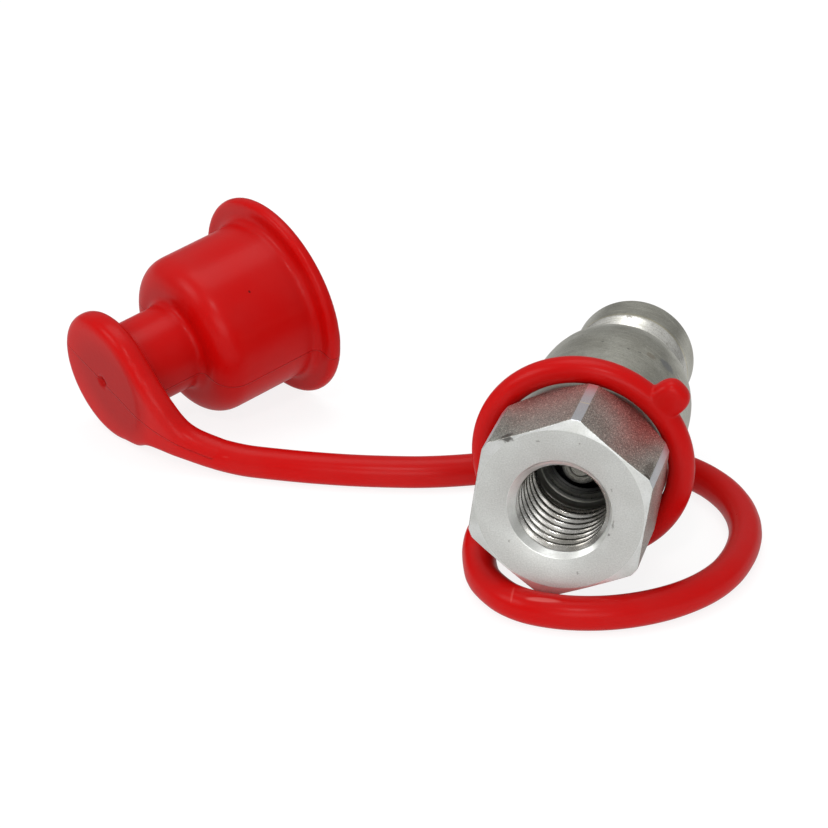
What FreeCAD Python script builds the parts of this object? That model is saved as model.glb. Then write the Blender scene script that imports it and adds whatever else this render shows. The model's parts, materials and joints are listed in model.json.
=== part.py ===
import FreeCAD, Part
import math
import os
import re

import Sketcher
from FreeCAD import Placement, Rotation, Vector

# Male half of a hydraulic quick coupler: a plug with a ball groove, a poppet valve inside it,
# and a moulded dust cap on a strap whose ring sits on the plug behind its hexagon.
# The plug lies on its ring and on the strap, its threaded port towards -Y and its nose towards +Y.
# Each piece of the plug is drawn along its own Z axis, which starts at the port's face.

SIZES = [
    # The plug's outside, from the port's face to the nose
    ("hex_flats", 27.0),
    ("hex_length", 16.85),
    ("bar_diameter", 30.3),
    ("face_diameter", 26.4),
    ("face_chamfer_angle", 12.0),
    ("back_chamfer_angle", 45.0),
    ("hex_turn", 7.8),
    ("neck_diameter", 26.9),
    ("plug_length", 65.8),
    ("nose_diameter", 20.5),
    ("nose_length", 7.4),
    ("groove_depth", 1.45),
    ("groove_rise", 3.0),
    ("groove_floor", 4.6),
    ("groove_fall", 1.1),
    ("groove_round", 1.0),
    ("shoulder_drop", 1.2),
    ("shoulder_length", 3.1),
    ("shoulder_round", 0.8),
    ("taper_drop", 0.4),
    ("taper_length", 5.4),
    ("taper_round", 8.0),
    ("nose_round", 0.7),
    # The port and the bore behind it
    ("sink_diameter", 16.6),
    ("thread_minor", 13.84),
    ("thread_end", 16.0),
    ("relief_diameter", 16.6),
    ("relief_length", 3.0),
    ("chamber_diameter", 13.8),
    ("ring_groove_land", 1.1),
    ("ring_groove_width", 1.2),
    ("ring_groove_diameter", 15.4),
    ("seat_setback", 8.9),
    ("nose_opening", 9.8),
    ("mouth_chamfer", 0.5),
    # The poppet valve, shut
    ("seat_gap", 0.1),
    ("stem_diameter", 3.9),
    ("stem_overhang", 0.6),
    ("stem_chamfer", 0.4),
    ("head_diameter", 11.6),
    ("head_thickness", 4.0),
    ("boss_diameter", 6.4),
    ("boss_length", 2.5),
    ("tip_gap", 0.3),
    ("tip_setback", 1.0),
    ("tip_chamfer", 0.4),
    ("seal_setback", 0.25),
    ("seal_section", 1.8),
    ("seal_groove_width", 1.9),
    ("seal_seat_gap", 0.05),
    ("seal_groove_gap", 0.05),
    # The spring, its guide and the ring that holds the guide
    ("circlip_thickness", 1.0),
    ("circlip_width", 1.5),
    ("circlip_opening", 34.0),
    ("circlip_gap", 0.1),
    ("guide_fit", 0.08),
    ("guide_gap", 0.15),
    ("guide_rim_length", 3.0),
    ("guide_rim_wall", 1.2),
    ("hub_diameter", 6.2),
    ("hub_overhang", 2.5),
    ("hub_length", 9.4),
    ("leg_width", 2.4),
    ("leg_count", 2),
    ("leg_angle", 35.0),
    ("spring_wire", 1.2),
    ("spring_diameter", 8.8),
    ("spring_coils", 6.5),
    ("spring_gap", 0.15),
    # The strap's ring, which sits round the neck behind the hexagon
    ("strap_ring_station", 19.8),
    ("strap_ring_section", 4.28),
    ("strap_ring_gap", 0.28),
    ("strap_ring_hang", 0.14),
    ("strap_ring_lean", 2.75),
    ("nub_angle", 42.5),
    ("root_angle", 221.0),
    ("nub_width", 5.8),
    ("nub_reach", 3.6),
    ("nub_thickness", 3.9),
    ("nub_round", 1.5),
    ("strap_diameter", 5.4),
    # The dust cap, from its end disc to its mouth
    ("cap_neck_diameter", 15.5),
    ("cap_neck_length", 11.2),
    ("cap_neck_round", 1.3),
    ("disc_reach", 4.3),
    ("disc_thickness", 4.6),
    ("disc_round", 2.0),
    ("cup_wall", 4.2),
    ("cup_floor", 1.65),
    ("cup_round", 4.6),
    ("cap_depth", 20.6),
    ("flange_reach", 4.0),
    ("flange_thickness", 2.4),
    ("flange_round", 1.1),
    ("flange_root", 1.5),
    ("mouth_diameter", 26.8),
    ("mouth_depth", 4.6),
    ("shoulder_bore", 24.0),
    ("bead_diameter", 19.8),
    ("bead_start", 6.6),
    ("bead_end", 8.6),
    ("nose_fit", 0.15),
    ("gate_diameter", 2.0),
    ("gate_depth", 0.5),
    ("root_width", 13.6),
    ("root_thickness", 4.4),
    # Where things lie on the ground, seen from a mark near the ring's foot
    ("plug_tilt", 2.3),
    ("plug_x", -0.22),
    ("ring_x", -0.41),
    ("ring_y", 1.69),
    ("cap_x", -88.89),
    ("cap_y", 25.02),
    ("cap_azimuth", 51.6),
    ("cap_roll", 21.2),
]

doc = FreeCAD.newDocument("quick_coupler_plug")
sheet = doc.addObject("Spreadsheet::Sheet", "Sizes")
for row, (alias, value) in enumerate(SIZES, start=1):
    sheet.set(f"A{row}", alias)
    sheet.set(f"B{row}", str(value))
    sheet.setAlias(f"B{row}", alias)
doc.recompute()
size = {alias: float(sheet.get(alias)) for alias, _ in SIZES}

# Stations along the plug and radii that several pieces share, in the sheet's words
FRONT_CHAMFER = "( bar_diameter - face_diameter ) / 2 * tan(face_chamfer_angle)"
BACK_CHAMFER = "( bar_diameter - neck_diameter ) / 2 * tan(back_chamfer_angle)"
NOSE_START = "plug_length - nose_length"
GROOVE_END = f"{NOSE_START} - groove_rise"
GROOVE_START = f"{GROOVE_END} - groove_floor"
SHOULDER_END = f"{GROOVE_START} - groove_fall"
TAPER_END = f"{SHOULDER_END} - shoulder_length"
NECK_END = f"{TAPER_END} - taper_length"
TAPER_RADIUS = "neck_diameter / 2 - taper_drop"
SHOULDER_RADIUS = f"{TAPER_RADIUS} - shoulder_drop"
GROOVE_RADIUS = "nose_diameter / 2 - groove_depth"
CHAMBER = "chamber_diameter / 2"
RELIEF_END = "thread_end + relief_length"
RING_GROOVE = f"{RELIEF_END} + ring_groove_land"
GUIDE_START = f"{RING_GROOVE} + ring_groove_width"
GUIDE_END = f"{GUIDE_START} + guide_rim_length"
GUIDE_RADIUS = "chamber_diameter / 2 - guide_gap"
HUB_START = f"{RING_GROOVE} - hub_overhang"
STEM_START = f"{HUB_START} - stem_overhang"
SEAT_START = "plug_length - seat_setback"
SEAL_START = f"{SEAT_START} - seal_setback"
SEAL_END = f"{SEAL_START} + seal_groove_width"
SEAL_STATION = f"{SEAL_START} + seal_groove_width / 2"
SEAL_RADIUS = (
    "chamber_diameter / 2 + seal_setback - seal_groove_width / 2"
    " - ( seal_section / 2 + seal_seat_gap ) * sqrt(2)"
)
LIP_RADIUS = "chamber_diameter / 2 + seal_setback - seal_groove_width - seat_gap * sqrt(2)"
TIP_RADIUS = "nose_opening / 2 - tip_gap"
TIP_START = f"{SEAT_START} + chamber_diameter / 2 - seat_gap * sqrt(2) - ( {TIP_RADIUS} )"
HEAD_BACK = f"{SEAL_START} - head_thickness"
RING_RADIUS = "neck_diameter / 2 + strap_ring_gap + strap_ring_section / 2"
# Stations along the cap from its end disc, and its radii
DISC_RADIUS = "cap_neck_diameter / 2 + disc_reach"
CUP_START = "disc_thickness + cap_neck_length"
CUP_END = f"{CUP_START} + cup_floor + cap_depth"
NOSE_BORE = "nose_diameter / 2 + nose_fit"
CUP_RADIUS = f"{NOSE_BORE} + cup_wall"
FLANGE_START = f"{CUP_END} - flange_thickness"
FLANGE_RADIUS = f"{CUP_RADIUS} + flange_reach"


def cell(expression):
    """The expression with each size written as a cell of the sheet."""
    return re.sub(
        "[a-z_]+",
        lambda word: f"Sizes.{word[0]}" if word[0] in size else word[0],
        expression,
    )


def number(expression):
    """The expression's value, worked out by the sheet."""
    sheet.set("D1", f"={expression}")
    doc.recompute([sheet])
    return float(sheet.get("D1"))


def sketch_on(body, name, role, offset=Placement()):
    """A sketch on the body's own origin plane, moved by the offset."""
    plane = next(part for part in body.Origin.OriginFeatures if part.Role == role)
    sketch = body.newObject("Sketcher::SketchObject", name)
    sketch.AttachmentSupport = [(plane, "")]
    sketch.MapMode = "FlatFace"
    sketch.AttachmentOffset = offset
    return sketch


def drive(sketch, kind, *parts):
    """Add a constraint whose last part is an expression of the sizes."""
    *places, expression = parts
    index = sketch.addConstraint(Sketcher.Constraint(kind, *places, number(expression)))
    sketch.setExpression(f"Constraints[{index}]", cell(expression))


def pin(sketch, geometry, end, across, along):
    """Hold a point at two distances from the origin; "0" puts it on that axis."""
    if across == "0":
        sketch.addConstraint(Sketcher.Constraint("PointOnObject", geometry, end, -2))
    else:
        drive(sketch, "DistanceX", -1, 1, geometry, end, across)
    if along == "0":
        sketch.addConstraint(Sketcher.Constraint("PointOnObject", geometry, end, -1))
    else:
        drive(sketch, "DistanceY", -1, 1, geometry, end, along)


def outline(sketch, points):
    """A closed outline through the points, each held by its two sizes."""
    places = [Vector(number(across), number(along), 0) for across, along in points]
    first = sketch.GeometryCount
    count = len(places)
    for index in range(count):
        line = Part.LineSegment(places[index], places[(index + 1) % count])
        sketch.addGeometry(line, False)
    for index in range(count):
        following = first + (index + 1) % count
        sketch.addConstraint(Sketcher.Constraint("Coincident", first + index, 2, following, 1))
    for index, (across, along) in enumerate(points):
        pin(sketch, first + index, 1, across, along)


def circle(sketch, across, along, diameter):
    """A circle whose middle and diameter follow the sizes."""
    middle = Vector(number(across), number(along), 0)
    index = sketch.addGeometry(Part.Circle(middle, Vector(0, 0, 1), number(diameter) / 2), False)
    pin(sketch, index, 3, across, along)
    drive(sketch, "Diameter", index, diameter)


def turned(body, name, kind, points):
    """A revolved outline of (radius, station) points, added or cut."""
    sketch = sketch_on(body, f"{name}_outline", "XZ_Plane")
    outline(sketch, points)
    return spun(body, name, kind, sketch)


def spun(body, name, kind, sketch):
    """The sketch turned once round the body's Z axis."""
    feature = body.newObject(f"PartDesign::{kind}", name)
    feature.Profile = sketch
    feature.ReferenceAxis = (sketch, ["V_Axis"])
    feature.Angle = 360
    sketch.Visibility = False
    body.Tip = feature
    doc.recompute()
    return feature


def rims(feature, *places):
    """Names of the feature's circular edges at these (radius, station) places."""
    names = []
    for radius, station in places:
        found = [
            f"Edge{index}"
            for index, edge in enumerate(feature.Shape.Edges, start=1)
            if isinstance(edge.Curve, Part.Circle)
            and abs(edge.Curve.Radius - number(radius)) < 0.01
            and abs(edge.Curve.Center.z - number(station)) < 0.01
        ]
        if not found:
            raise ValueError(f"{feature.Name} has no edge of radius {radius} at {station}")
        names.extend(found)
    return names


def rounded(body, name, radius, *places):
    """Fillet the circular edges at these (radius, station) places."""
    base = body.Tip
    feature = body.newObject("PartDesign::Fillet", name)
    feature.Base = (base, rims(base, *places))
    feature.Radius = number(radius)
    feature.setExpression("Radius", cell(radius))
    body.Tip = feature
    doc.recompute()
    return feature


def new_body(name):
    """A body whose name is also its label and its file's name."""
    body = doc.addObject("PartDesign::Body", name)
    body.Label = name
    return body


def lighter(before, body):
    """Stop if the last cut took nothing away."""
    if not body.Shape.Volume < before - 1:
        raise ValueError(f"{body.Tip.Name} cuts nothing")


# The plug: turned from hexagon bar, bored from the port's side
plug_body = new_body("plug_body")
turned(plug_body, "plug_outside", "Revolution", [
    ("0", "0"),
    ("face_diameter / 2", "0"),
    ("bar_diameter / 2", FRONT_CHAMFER),
    ("bar_diameter / 2", f"hex_length - {BACK_CHAMFER}"),
    ("neck_diameter / 2", "hex_length"),
    ("neck_diameter / 2", NECK_END),
    (TAPER_RADIUS, TAPER_END),
    (SHOULDER_RADIUS, SHOULDER_END),
    (GROOVE_RADIUS, GROOVE_START),
    (GROOVE_RADIUS, GROOVE_END),
    ("nose_diameter / 2", NOSE_START),
    ("nose_diameter / 2", "plug_length"),
    ("0", "plug_length"),
])
rounded(plug_body, "taper_blend", "taper_round", (TAPER_RADIUS, TAPER_END))
rounded(plug_body, "shoulder_blend", "shoulder_round", (SHOULDER_RADIUS, SHOULDER_END))
rounded(
    plug_body, "groove_blend", "groove_round",
    (GROOVE_RADIUS, GROOVE_START),
    (GROOVE_RADIUS, GROOVE_END),
)
rounded(
    plug_body, "nose_blend", "nose_round",
    ("nose_diameter / 2", NOSE_START),
    ("nose_diameter / 2", "plug_length"),
)
volume = plug_body.Shape.Volume
turned(plug_body, "bore", "Groove", [
    ("0", "0"),
    ("sink_diameter / 2", "0"),
    ("thread_minor / 2", "( sink_diameter - thread_minor ) / 2"),
    ("thread_minor / 2", "thread_end"),
    ("relief_diameter / 2", "thread_end + ( relief_diameter - thread_minor ) / 4"),
    ("relief_diameter / 2", RELIEF_END),
    (CHAMBER, RELIEF_END),
    (CHAMBER, RING_GROOVE),
    ("ring_groove_diameter / 2", RING_GROOVE),
    ("ring_groove_diameter / 2", GUIDE_START),
    (CHAMBER, GUIDE_START),
    (CHAMBER, SEAT_START),
    ("nose_opening / 2", f"{SEAT_START} + ( chamber_diameter - nose_opening ) / 2"),
    ("nose_opening / 2", "plug_length - mouth_chamfer"),
    ("nose_opening / 2 + mouth_chamfer", "plug_length"),
    ("0", "plug_length"),
])
lighter(volume, plug_body)

# Six flats leave the strips of turned bar between them
flats = sketch_on(
    plug_body, "flats_outline", "XY_Plane",
    Placement(Vector(), Rotation(Vector(0, 0, 1), size["hex_turn"] - 90)),
)
corner = number("hex_flats / sqrt(3)")
corners = [
    Vector(corner * math.cos(math.radians(60 * k)), corner * math.sin(math.radians(60 * k)), 0)
    for k in range(6)
]
for k in range(6):
    flats.addGeometry(Part.LineSegment(corners[k], corners[(k + 1) % 6]), False)
round_corners = flats.addGeometry(Part.Circle(Vector(), Vector(0, 0, 1), corner), True)
flats.addConstraint(Sketcher.Constraint("Coincident", round_corners, 3, -1, 1))
for k in range(6):
    flats.addConstraint(Sketcher.Constraint("Coincident", k, 2, (k + 1) % 6, 1))
    flats.addConstraint(Sketcher.Constraint("PointOnObject", k, 1, round_corners))
for k in range(1, 6):
    flats.addConstraint(Sketcher.Constraint("Equal", 0, k))
flats.addConstraint(Sketcher.Constraint("PointOnObject", 0, 1, -1))
drive(flats, "Radius", round_corners, "hex_flats / sqrt(3)")
circle(flats, "0", "0", "bar_diameter + 4")
volume = plug_body.Shape.Volume
milled = plug_body.newObject("PartDesign::Pocket", "flats")
milled.Profile = flats
milled.Length = size["hex_length"]
milled.setExpression("Length", cell("hex_length"))
milled.Reversed = True
plug_body.Tip = milled
doc.recompute()
lighter(volume, plug_body)

# The poppet: a stem that the guide holds, and a head that shuts the seat behind the nose
poppet = new_body("poppet")
turned(poppet, "poppet_outside", "Revolution", [
    ("0", STEM_START),
    ("stem_diameter / 2 - stem_chamfer", STEM_START),
    ("stem_diameter / 2", f"{STEM_START} + stem_chamfer"),
    ("stem_diameter / 2", f"{HEAD_BACK} - boss_length"),
    ("boss_diameter / 2", f"{HEAD_BACK} - boss_length"),
    ("boss_diameter / 2", HEAD_BACK),
    ("head_diameter / 2", HEAD_BACK),
    ("head_diameter / 2", SEAL_START),
    (f"{SEAL_RADIUS} - seal_section / 2 - seal_groove_gap", SEAL_START),
    (f"{SEAL_RADIUS} - seal_section / 2 - seal_groove_gap", SEAL_END),
    (LIP_RADIUS, SEAL_END),
    (TIP_RADIUS, TIP_START),
    (TIP_RADIUS, "plug_length - tip_setback - tip_chamfer"),
    (f"{TIP_RADIUS} - tip_chamfer", "plug_length - tip_setback"),
    ("0", "plug_length - tip_setback"),
])

# Its seal, which meets the seat
poppet_seal = new_body("poppet_seal")
seal_section = sketch_on(poppet_seal, "seal_outline", "XZ_Plane")
circle(seal_section, SEAL_RADIUS, SEAL_STATION, "seal_section")
spun(poppet_seal, "seal", "Revolution", seal_section)

# The guide: a hub on two legs inside a rim that the retaining ring holds
valve_guide = new_body("valve_guide")
turned(valve_guide, "hub", "Revolution", [
    ("stem_diameter / 2 + guide_fit", HUB_START),
    ("hub_diameter / 2", HUB_START),
    ("hub_diameter / 2", f"{HUB_START} + hub_length"),
    ("stem_diameter / 2 + guide_fit", f"{HUB_START} + hub_length"),
])
leg_outline = sketch_on(
    valve_guide, "leg_outline", "XY_Plane",
    Placement(
        Vector(0, 0, number(GUIDE_START)),
        Rotation(Vector(0, 0, 1), size["leg_angle"]),
    ),
)
leg_outline.setExpression("AttachmentOffset.Base.z", cell(GUIDE_START))
inner = number("hub_diameter / 2 - guide_rim_wall / 2")
outer = number(f"{GUIDE_RADIUS} - guide_rim_wall / 2")
half = size["leg_width"] / 2
leg_corners = [
    Vector(inner, -half, 0),
    Vector(outer, -half, 0),
    Vector(outer, half, 0),
    Vector(inner, half, 0),
]
for k in range(4):
    leg_outline.addGeometry(Part.LineSegment(leg_corners[k], leg_corners[(k + 1) % 4]), False)
for k in range(4):
    leg_outline.addConstraint(Sketcher.Constraint("Coincident", k, 2, (k + 1) % 4, 1))
leg_outline.addConstraint(Sketcher.Constraint("Horizontal", 0))
for k in (1, 3):
    leg_outline.addConstraint(Sketcher.Constraint("Symmetric", k, 1, k, 2, -1))
drive(leg_outline, "DistanceX", -1, 1, 0, 1, "hub_diameter / 2 - guide_rim_wall / 2")
drive(leg_outline, "DistanceX", -1, 1, 0, 2, f"{GUIDE_RADIUS} - guide_rim_wall / 2")
drive(leg_outline, "DistanceY", 1, 1, 1, 2, "leg_width")
leg = valve_guide.newObject("PartDesign::Pad", "leg")
leg.Profile = leg_outline
leg.Length = size["guide_rim_length"]
leg.setExpression("Length", cell("guide_rim_length"))
valve_guide.Tip = leg
doc.recompute()
legs = valve_guide.newObject("PartDesign::PolarPattern", "legs")
legs.Originals = [leg]
legs.Axis = (leg_outline, ["N_Axis"])
legs.Angle = 360
legs.Occurrences = int(size["leg_count"])
legs.setExpression("Occurrences", cell("leg_count"))
valve_guide.Tip = legs
doc.recompute()
turned(valve_guide, "rim", "Revolution", [
    (f"{GUIDE_RADIUS} - guide_rim_wall", GUIDE_START),
    (GUIDE_RADIUS, GUIDE_START),
    (GUIDE_RADIUS, GUIDE_END),
    (f"{GUIDE_RADIUS} - guide_rim_wall", GUIDE_END),
])

# The retaining ring, open on one side
retaining_ring = new_body("retaining_ring")
clip_middle = f"{RING_GROOVE} + ring_groove_width / 2"
circlip = turned(retaining_ring, "circlip", "Revolution", [
    ("ring_groove_diameter / 2 - circlip_gap - circlip_width",
     f"{clip_middle} - circlip_thickness / 2"),
    ("ring_groove_diameter / 2 - circlip_gap", f"{clip_middle} - circlip_thickness / 2"),
    ("ring_groove_diameter / 2 - circlip_gap", f"{clip_middle} + circlip_thickness / 2"),
    ("ring_groove_diameter / 2 - circlip_gap - circlip_width",
     f"{clip_middle} + circlip_thickness / 2"),
])
circlip.Angle = 360 - size["circlip_opening"]
circlip.setExpression("Angle", f"360 - {cell('circlip_opening')}")

# The spring, which stands between the guide's rim and the poppet's head
poppet_spring = new_body("poppet_spring")
wire_section = sketch_on(poppet_spring, "wire_outline", "XZ_Plane")
circle(wire_section, "spring_diameter / 2", f"{GUIDE_END} + spring_gap + spring_wire / 2",
       "spring_wire")
coil = poppet_spring.newObject("PartDesign::AdditiveHelix", "coil")
coil.Profile = wire_section
coil.ReferenceAxis = (wire_section, ["V_Axis"])
coil.Mode = "height-turns-angle"
SPRING_RISE = f"{HEAD_BACK} - ( {GUIDE_END} ) - 2 * spring_gap - spring_wire"
coil.Height = number(SPRING_RISE)
coil.setExpression("Height", cell(SPRING_RISE))
coil.Turns = size["spring_coils"]
coil.setExpression("Turns", cell("spring_coils"))
coil.Angle = 0
wire_section.Visibility = False
poppet_spring.Tip = coil
doc.recompute()

# The strap's ring with its pull tab; the strap's root is added once the strap is laid
ring_band = new_body("ring_band")
band_section = sketch_on(ring_band, "band_outline", "XZ_Plane")
circle(band_section, RING_RADIUS, "0", "strap_ring_section")
spun(ring_band, "band", "Revolution", band_section)
nub_outline = sketch_on(
    ring_band, "nub_outline", "XY_Plane",
    Placement(Vector(), Rotation(Vector(0, 0, 1), -size["nub_angle"])),
)
ring_radius = number(RING_RADIUS)
nub_half = size["nub_width"] / 2
nub_middle = number(f"{RING_RADIUS} + strap_ring_section / 2 + nub_reach - nub_width / 2")
nub_outline.addGeometry(
    Part.LineSegment(Vector(nub_middle, nub_half, 0), Vector(ring_radius, nub_half, 0)), False)
nub_outline.addGeometry(
    Part.LineSegment(Vector(ring_radius, nub_half, 0), Vector(ring_radius, -nub_half, 0)), False)
nub_outline.addGeometry(
    Part.LineSegment(Vector(ring_radius, -nub_half, 0), Vector(nub_middle, -nub_half, 0)), False)
nub_outline.addGeometry(
    Part.ArcOfCircle(
        Part.Circle(Vector(nub_middle, 0, 0), Vector(0, 0, 1), nub_half),
        -math.pi / 2, math.pi / 2),
    False)
nub_outline.addConstraint(Sketcher.Constraint("Coincident", 0, 2, 1, 1))
nub_outline.addConstraint(Sketcher.Constraint("Coincident", 1, 2, 2, 1))
nub_outline.addConstraint(Sketcher.Constraint("Tangent", 2, 2, 3, 1))
nub_outline.addConstraint(Sketcher.Constraint("Tangent", 3, 2, 0, 1))
nub_outline.addConstraint(Sketcher.Constraint("Horizontal", 0))
nub_outline.addConstraint(Sketcher.Constraint("Vertical", 1))
nub_outline.addConstraint(Sketcher.Constraint("PointOnObject", 3, 3, -1))
drive(nub_outline, "DistanceX", -1, 1, 1, 1, RING_RADIUS)
drive(nub_outline, "DistanceX", -1, 1, 3, 3,
      f"{RING_RADIUS} + strap_ring_section / 2 + nub_reach - nub_width / 2")
drive(nub_outline, "Radius", 3, "nub_width / 2")
nub = ring_band.newObject("PartDesign::Pad", "nub")
nub.Profile = nub_outline
nub.Midplane = True
nub.Length = size["nub_thickness"]
nub.setExpression("Length", cell("nub_thickness"))
ring_band.Tip = nub
doc.recompute()
tab_edges = [
    f"Edge{index}"
    for index, edge in enumerate(nub.Shape.Edges, start=1)
    if isinstance(edge.Curve, Part.Circle) and abs(edge.Curve.Radius - nub_half) < 0.01
]
nub_blend = ring_band.newObject("PartDesign::Fillet", "nub_blend")
nub_blend.Base = (nub, tab_edges)
nub_blend.Radius = size["nub_round"]
nub_blend.setExpression("Radius", cell("nub_round"))
ring_band.Tip = nub_blend
doc.recompute()

# The dust cap, drawn from its end disc to its mouth
dust_cap = new_body("dust_cap")
turned(dust_cap, "cap_outside", "Revolution", [
    ("0", "0"),
    (DISC_RADIUS, "0"),
    (DISC_RADIUS, "disc_thickness"),
    ("cap_neck_diameter / 2", "disc_thickness"),
    ("cap_neck_diameter / 2", CUP_START),
    (CUP_RADIUS, CUP_START),
    (CUP_RADIUS, FLANGE_START),
    (FLANGE_RADIUS, FLANGE_START),
    (FLANGE_RADIUS, CUP_END),
    ("0", CUP_END),
])
rounded(dust_cap, "disc_blend", "disc_round", (DISC_RADIUS, "0"), (DISC_RADIUS, "disc_thickness"))
rounded(
    dust_cap, "cap_neck_blend", "cap_neck_round",
    ("cap_neck_diameter / 2", "disc_thickness"),
    ("cap_neck_diameter / 2", CUP_START),
)
rounded(dust_cap, "cup_blend", "cup_round", (CUP_RADIUS, CUP_START))
rounded(dust_cap, "flange_root_blend", "flange_root", (CUP_RADIUS, FLANGE_START))
rounded(
    dust_cap, "flange_blend", "flange_round",
    (FLANGE_RADIUS, FLANGE_START),
    (FLANGE_RADIUS, CUP_END),
)
# Its cavity: a mouth that seats on the plug's shoulder, a bead for the ball groove, the nose's bore
volume = dust_cap.Shape.Volume
turned(dust_cap, "cavity", "Groove", [
    ("0", f"{CUP_START} + cup_floor"),
    (NOSE_BORE, f"{CUP_START} + cup_floor"),
    (NOSE_BORE, f"{CUP_END} - bead_end - nose_fit"),
    ("bead_diameter / 2", f"{CUP_END} - bead_end + nose_fit"),
    ("bead_diameter / 2", f"{CUP_END} - bead_start"),
    ("shoulder_bore / 2", f"{CUP_END} - mouth_depth"),
    ("mouth_diameter / 2", CUP_END),
    ("0", CUP_END),
])
lighter(volume, dust_cap)
volume = dust_cap.Shape.Volume
turned(dust_cap, "gate", "Groove", [
    ("0", "0"),
    ("gate_diameter / 2", "0"),
    ("0", "gate_depth"),
])

# The strap's root flows out of the disc: its width and thickness run over to the round strap.
# Each section stands at a point of the root's middle line, in the disc's own directions.
ROOT_SECTIONS = [
    (Vector(9.0, 0.6, 2.3), Vector(1.0, 0.0, 0.05), 1.0),
    (Vector(12.6, 0.9, 2.7), Vector(1.0, 0.05, 0.15), 0.76),
    (Vector(16.4, 1.15, 3.7), Vector(1.0, 0.05, 0.32), 0.375),
    (Vector(20.3, 1.3, 5.42), Vector(0.878, -0.03, 0.478), 0.11),
    (Vector(23.72, 1.18, 7.28), Vector(0.851, -0.061, 0.519), 0.0),
]
sections = []
for index, (middle, heading, share) in enumerate(ROOT_SECTIONS, start=1):
    section = sketch_on(
        dust_cap, f"root_section_{index}", "XY_Plane",
        Placement(middle, Rotation(Vector(0, 1, 0), Vector(), heading, "ZXY")),
    )
    wide = f"strap_diameter + ( root_width - strap_diameter ) * {share}"
    thick = f"strap_diameter + ( root_thickness - strap_diameter ) * {share}"
    if share:
        major = Vector(number(wide) / 2, 0, 0)
        minor = Vector(0, number(thick) / 2, 0)
        oval = section.addGeometry(Part.Ellipse(major, minor, Vector()), False)
        section.exposeInternalGeometry(oval)
        section.addConstraint(Sketcher.Constraint("Coincident", oval, 3, -1, 1))
        section.addConstraint(Sketcher.Constraint("Horizontal", oval + 1))
        drive(section, "Distance", oval + 1, wide)
        drive(section, "Distance", oval + 2, thick)
    else:
        circle(section, "0", "0", "strap_diameter")
    sections.append(section)
root = dust_cap.newObject("PartDesign::AdditiveLoft", "strap_root")
root.Profile = sections[0]
root.Sections = sections[1:]
for section in sections:
    section.Visibility = False
dust_cap.Tip = root
doc.recompute()

# The cap lies on its disc and its flange: the rounds of their edges nearest its closed end
# touch the ground, and so set its rise and its height
disc_foot = Vector(number(f"{DISC_RADIUS} - disc_round"), 0, size["disc_round"])
flange_foot = Vector(
    number(f"{FLANGE_RADIUS} - flange_round"), 0, number(f"{FLANGE_START} + flange_round"))
between = flange_foot - disc_foot
cap_rise = math.atan2(between.x, between.z) - math.asin(
    (size["disc_round"] - size["flange_round"]) / between.Length)
cap_height = (
    size["disc_round"] + disc_foot.x * math.cos(cap_rise) - disc_foot.z * math.sin(cap_rise))
azimuth = math.radians(size["cap_azimuth"])
cap_axis = Vector(
    math.cos(cap_rise) * math.cos(azimuth),
    math.cos(cap_rise) * math.sin(azimuth),
    math.sin(cap_rise),
)
level = Vector(math.sin(azimuth), -math.cos(azimuth), 0)
down_the_disc = level.cross(cap_axis)
if down_the_disc.z > 0:
    down_the_disc = -down_the_disc
roll = math.radians(size["cap_roll"])
strap_way = level * math.cos(roll) + down_the_disc * math.sin(roll)
dust_cap.Placement = Placement(
    Vector(size["cap_x"], size["cap_y"], cap_height),
    Rotation(strap_way, Vector(), cap_axis, "ZXY"),
)

# The strap's ring stands on the ground, leaning a little, and the plug's neck hangs in it
tilt = math.radians(size["plug_tilt"])
lean = math.radians(size["strap_ring_lean"])
ring_height = ring_radius * math.cos(lean) + size["strap_ring_section"] / 2
ring_place = Placement(
    Vector(size["ring_x"], size["ring_y"], ring_height),
    Rotation(Vector(1, 0, 0), size["strap_ring_lean"] - 90),
)
plug_axis = Vector(0, math.cos(tilt), -math.sin(tilt))
hanging = Vector(size["plug_x"], size["ring_y"], ring_height - size["strap_ring_hang"])
plug_place = Placement(
    hanging - plug_axis * size["strap_ring_station"],
    Rotation(Vector(1, 0, 0), -90 - size["plug_tilt"]),
)
plug_pieces = [plug_body, poppet, poppet_seal, valve_guide, retaining_ring, poppet_spring]
for piece in plug_pieces:
    piece.Placement = plug_place
ring_band.Placement = ring_place
doc.recompute()

# The origin is under the middle of everything but the strap, on the ground
bounds = FreeCAD.BoundBox()
for piece in plug_pieces + [ring_band, dust_cap]:
    bounds.add(piece.Shape.optimalBoundingBox(False, False))
shift = Vector(-bounds.Center.x, -bounds.Center.y, 0)
for piece in plug_pieces + [ring_band, dust_cap]:
    place = piece.Placement
    place.Base = place.Base + shift
    piece.Placement = place
doc.recompute()


def route(points):
    """A wire of straight runs joined by tangent arcs, its length and its arcs' radii."""
    pieces = []
    radii = []
    start = points[0]
    for before, here, after in zip(points, points[1:], points[2:]):
        arriving = here - before
        leaving = after - here
        shorter = min(arriving.Length, leaving.Length)
        reach = 0.45 * shorter
        half_turn = arriving.getAngle(leaving) / 2
        radii.append(reach / math.tan(half_turn))
        arriving = arriving.normalize()
        leaving = leaving.normalize()
        first = here - arriving * reach
        last = here + leaving * reach
        inward = (leaving - arriving).normalize()
        sagitta = radii[-1] * (1 / math.cos(half_turn) - 1)
        pieces.append(Part.LineSegment(start, first).toShape())
        pieces.append(Part.Arc(first, here + inward * sagitta, last).toShape())
        start = last
    pieces.append(Part.LineSegment(start, points[-1]).toShape())
    return Part.Wire(pieces), radii


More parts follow.
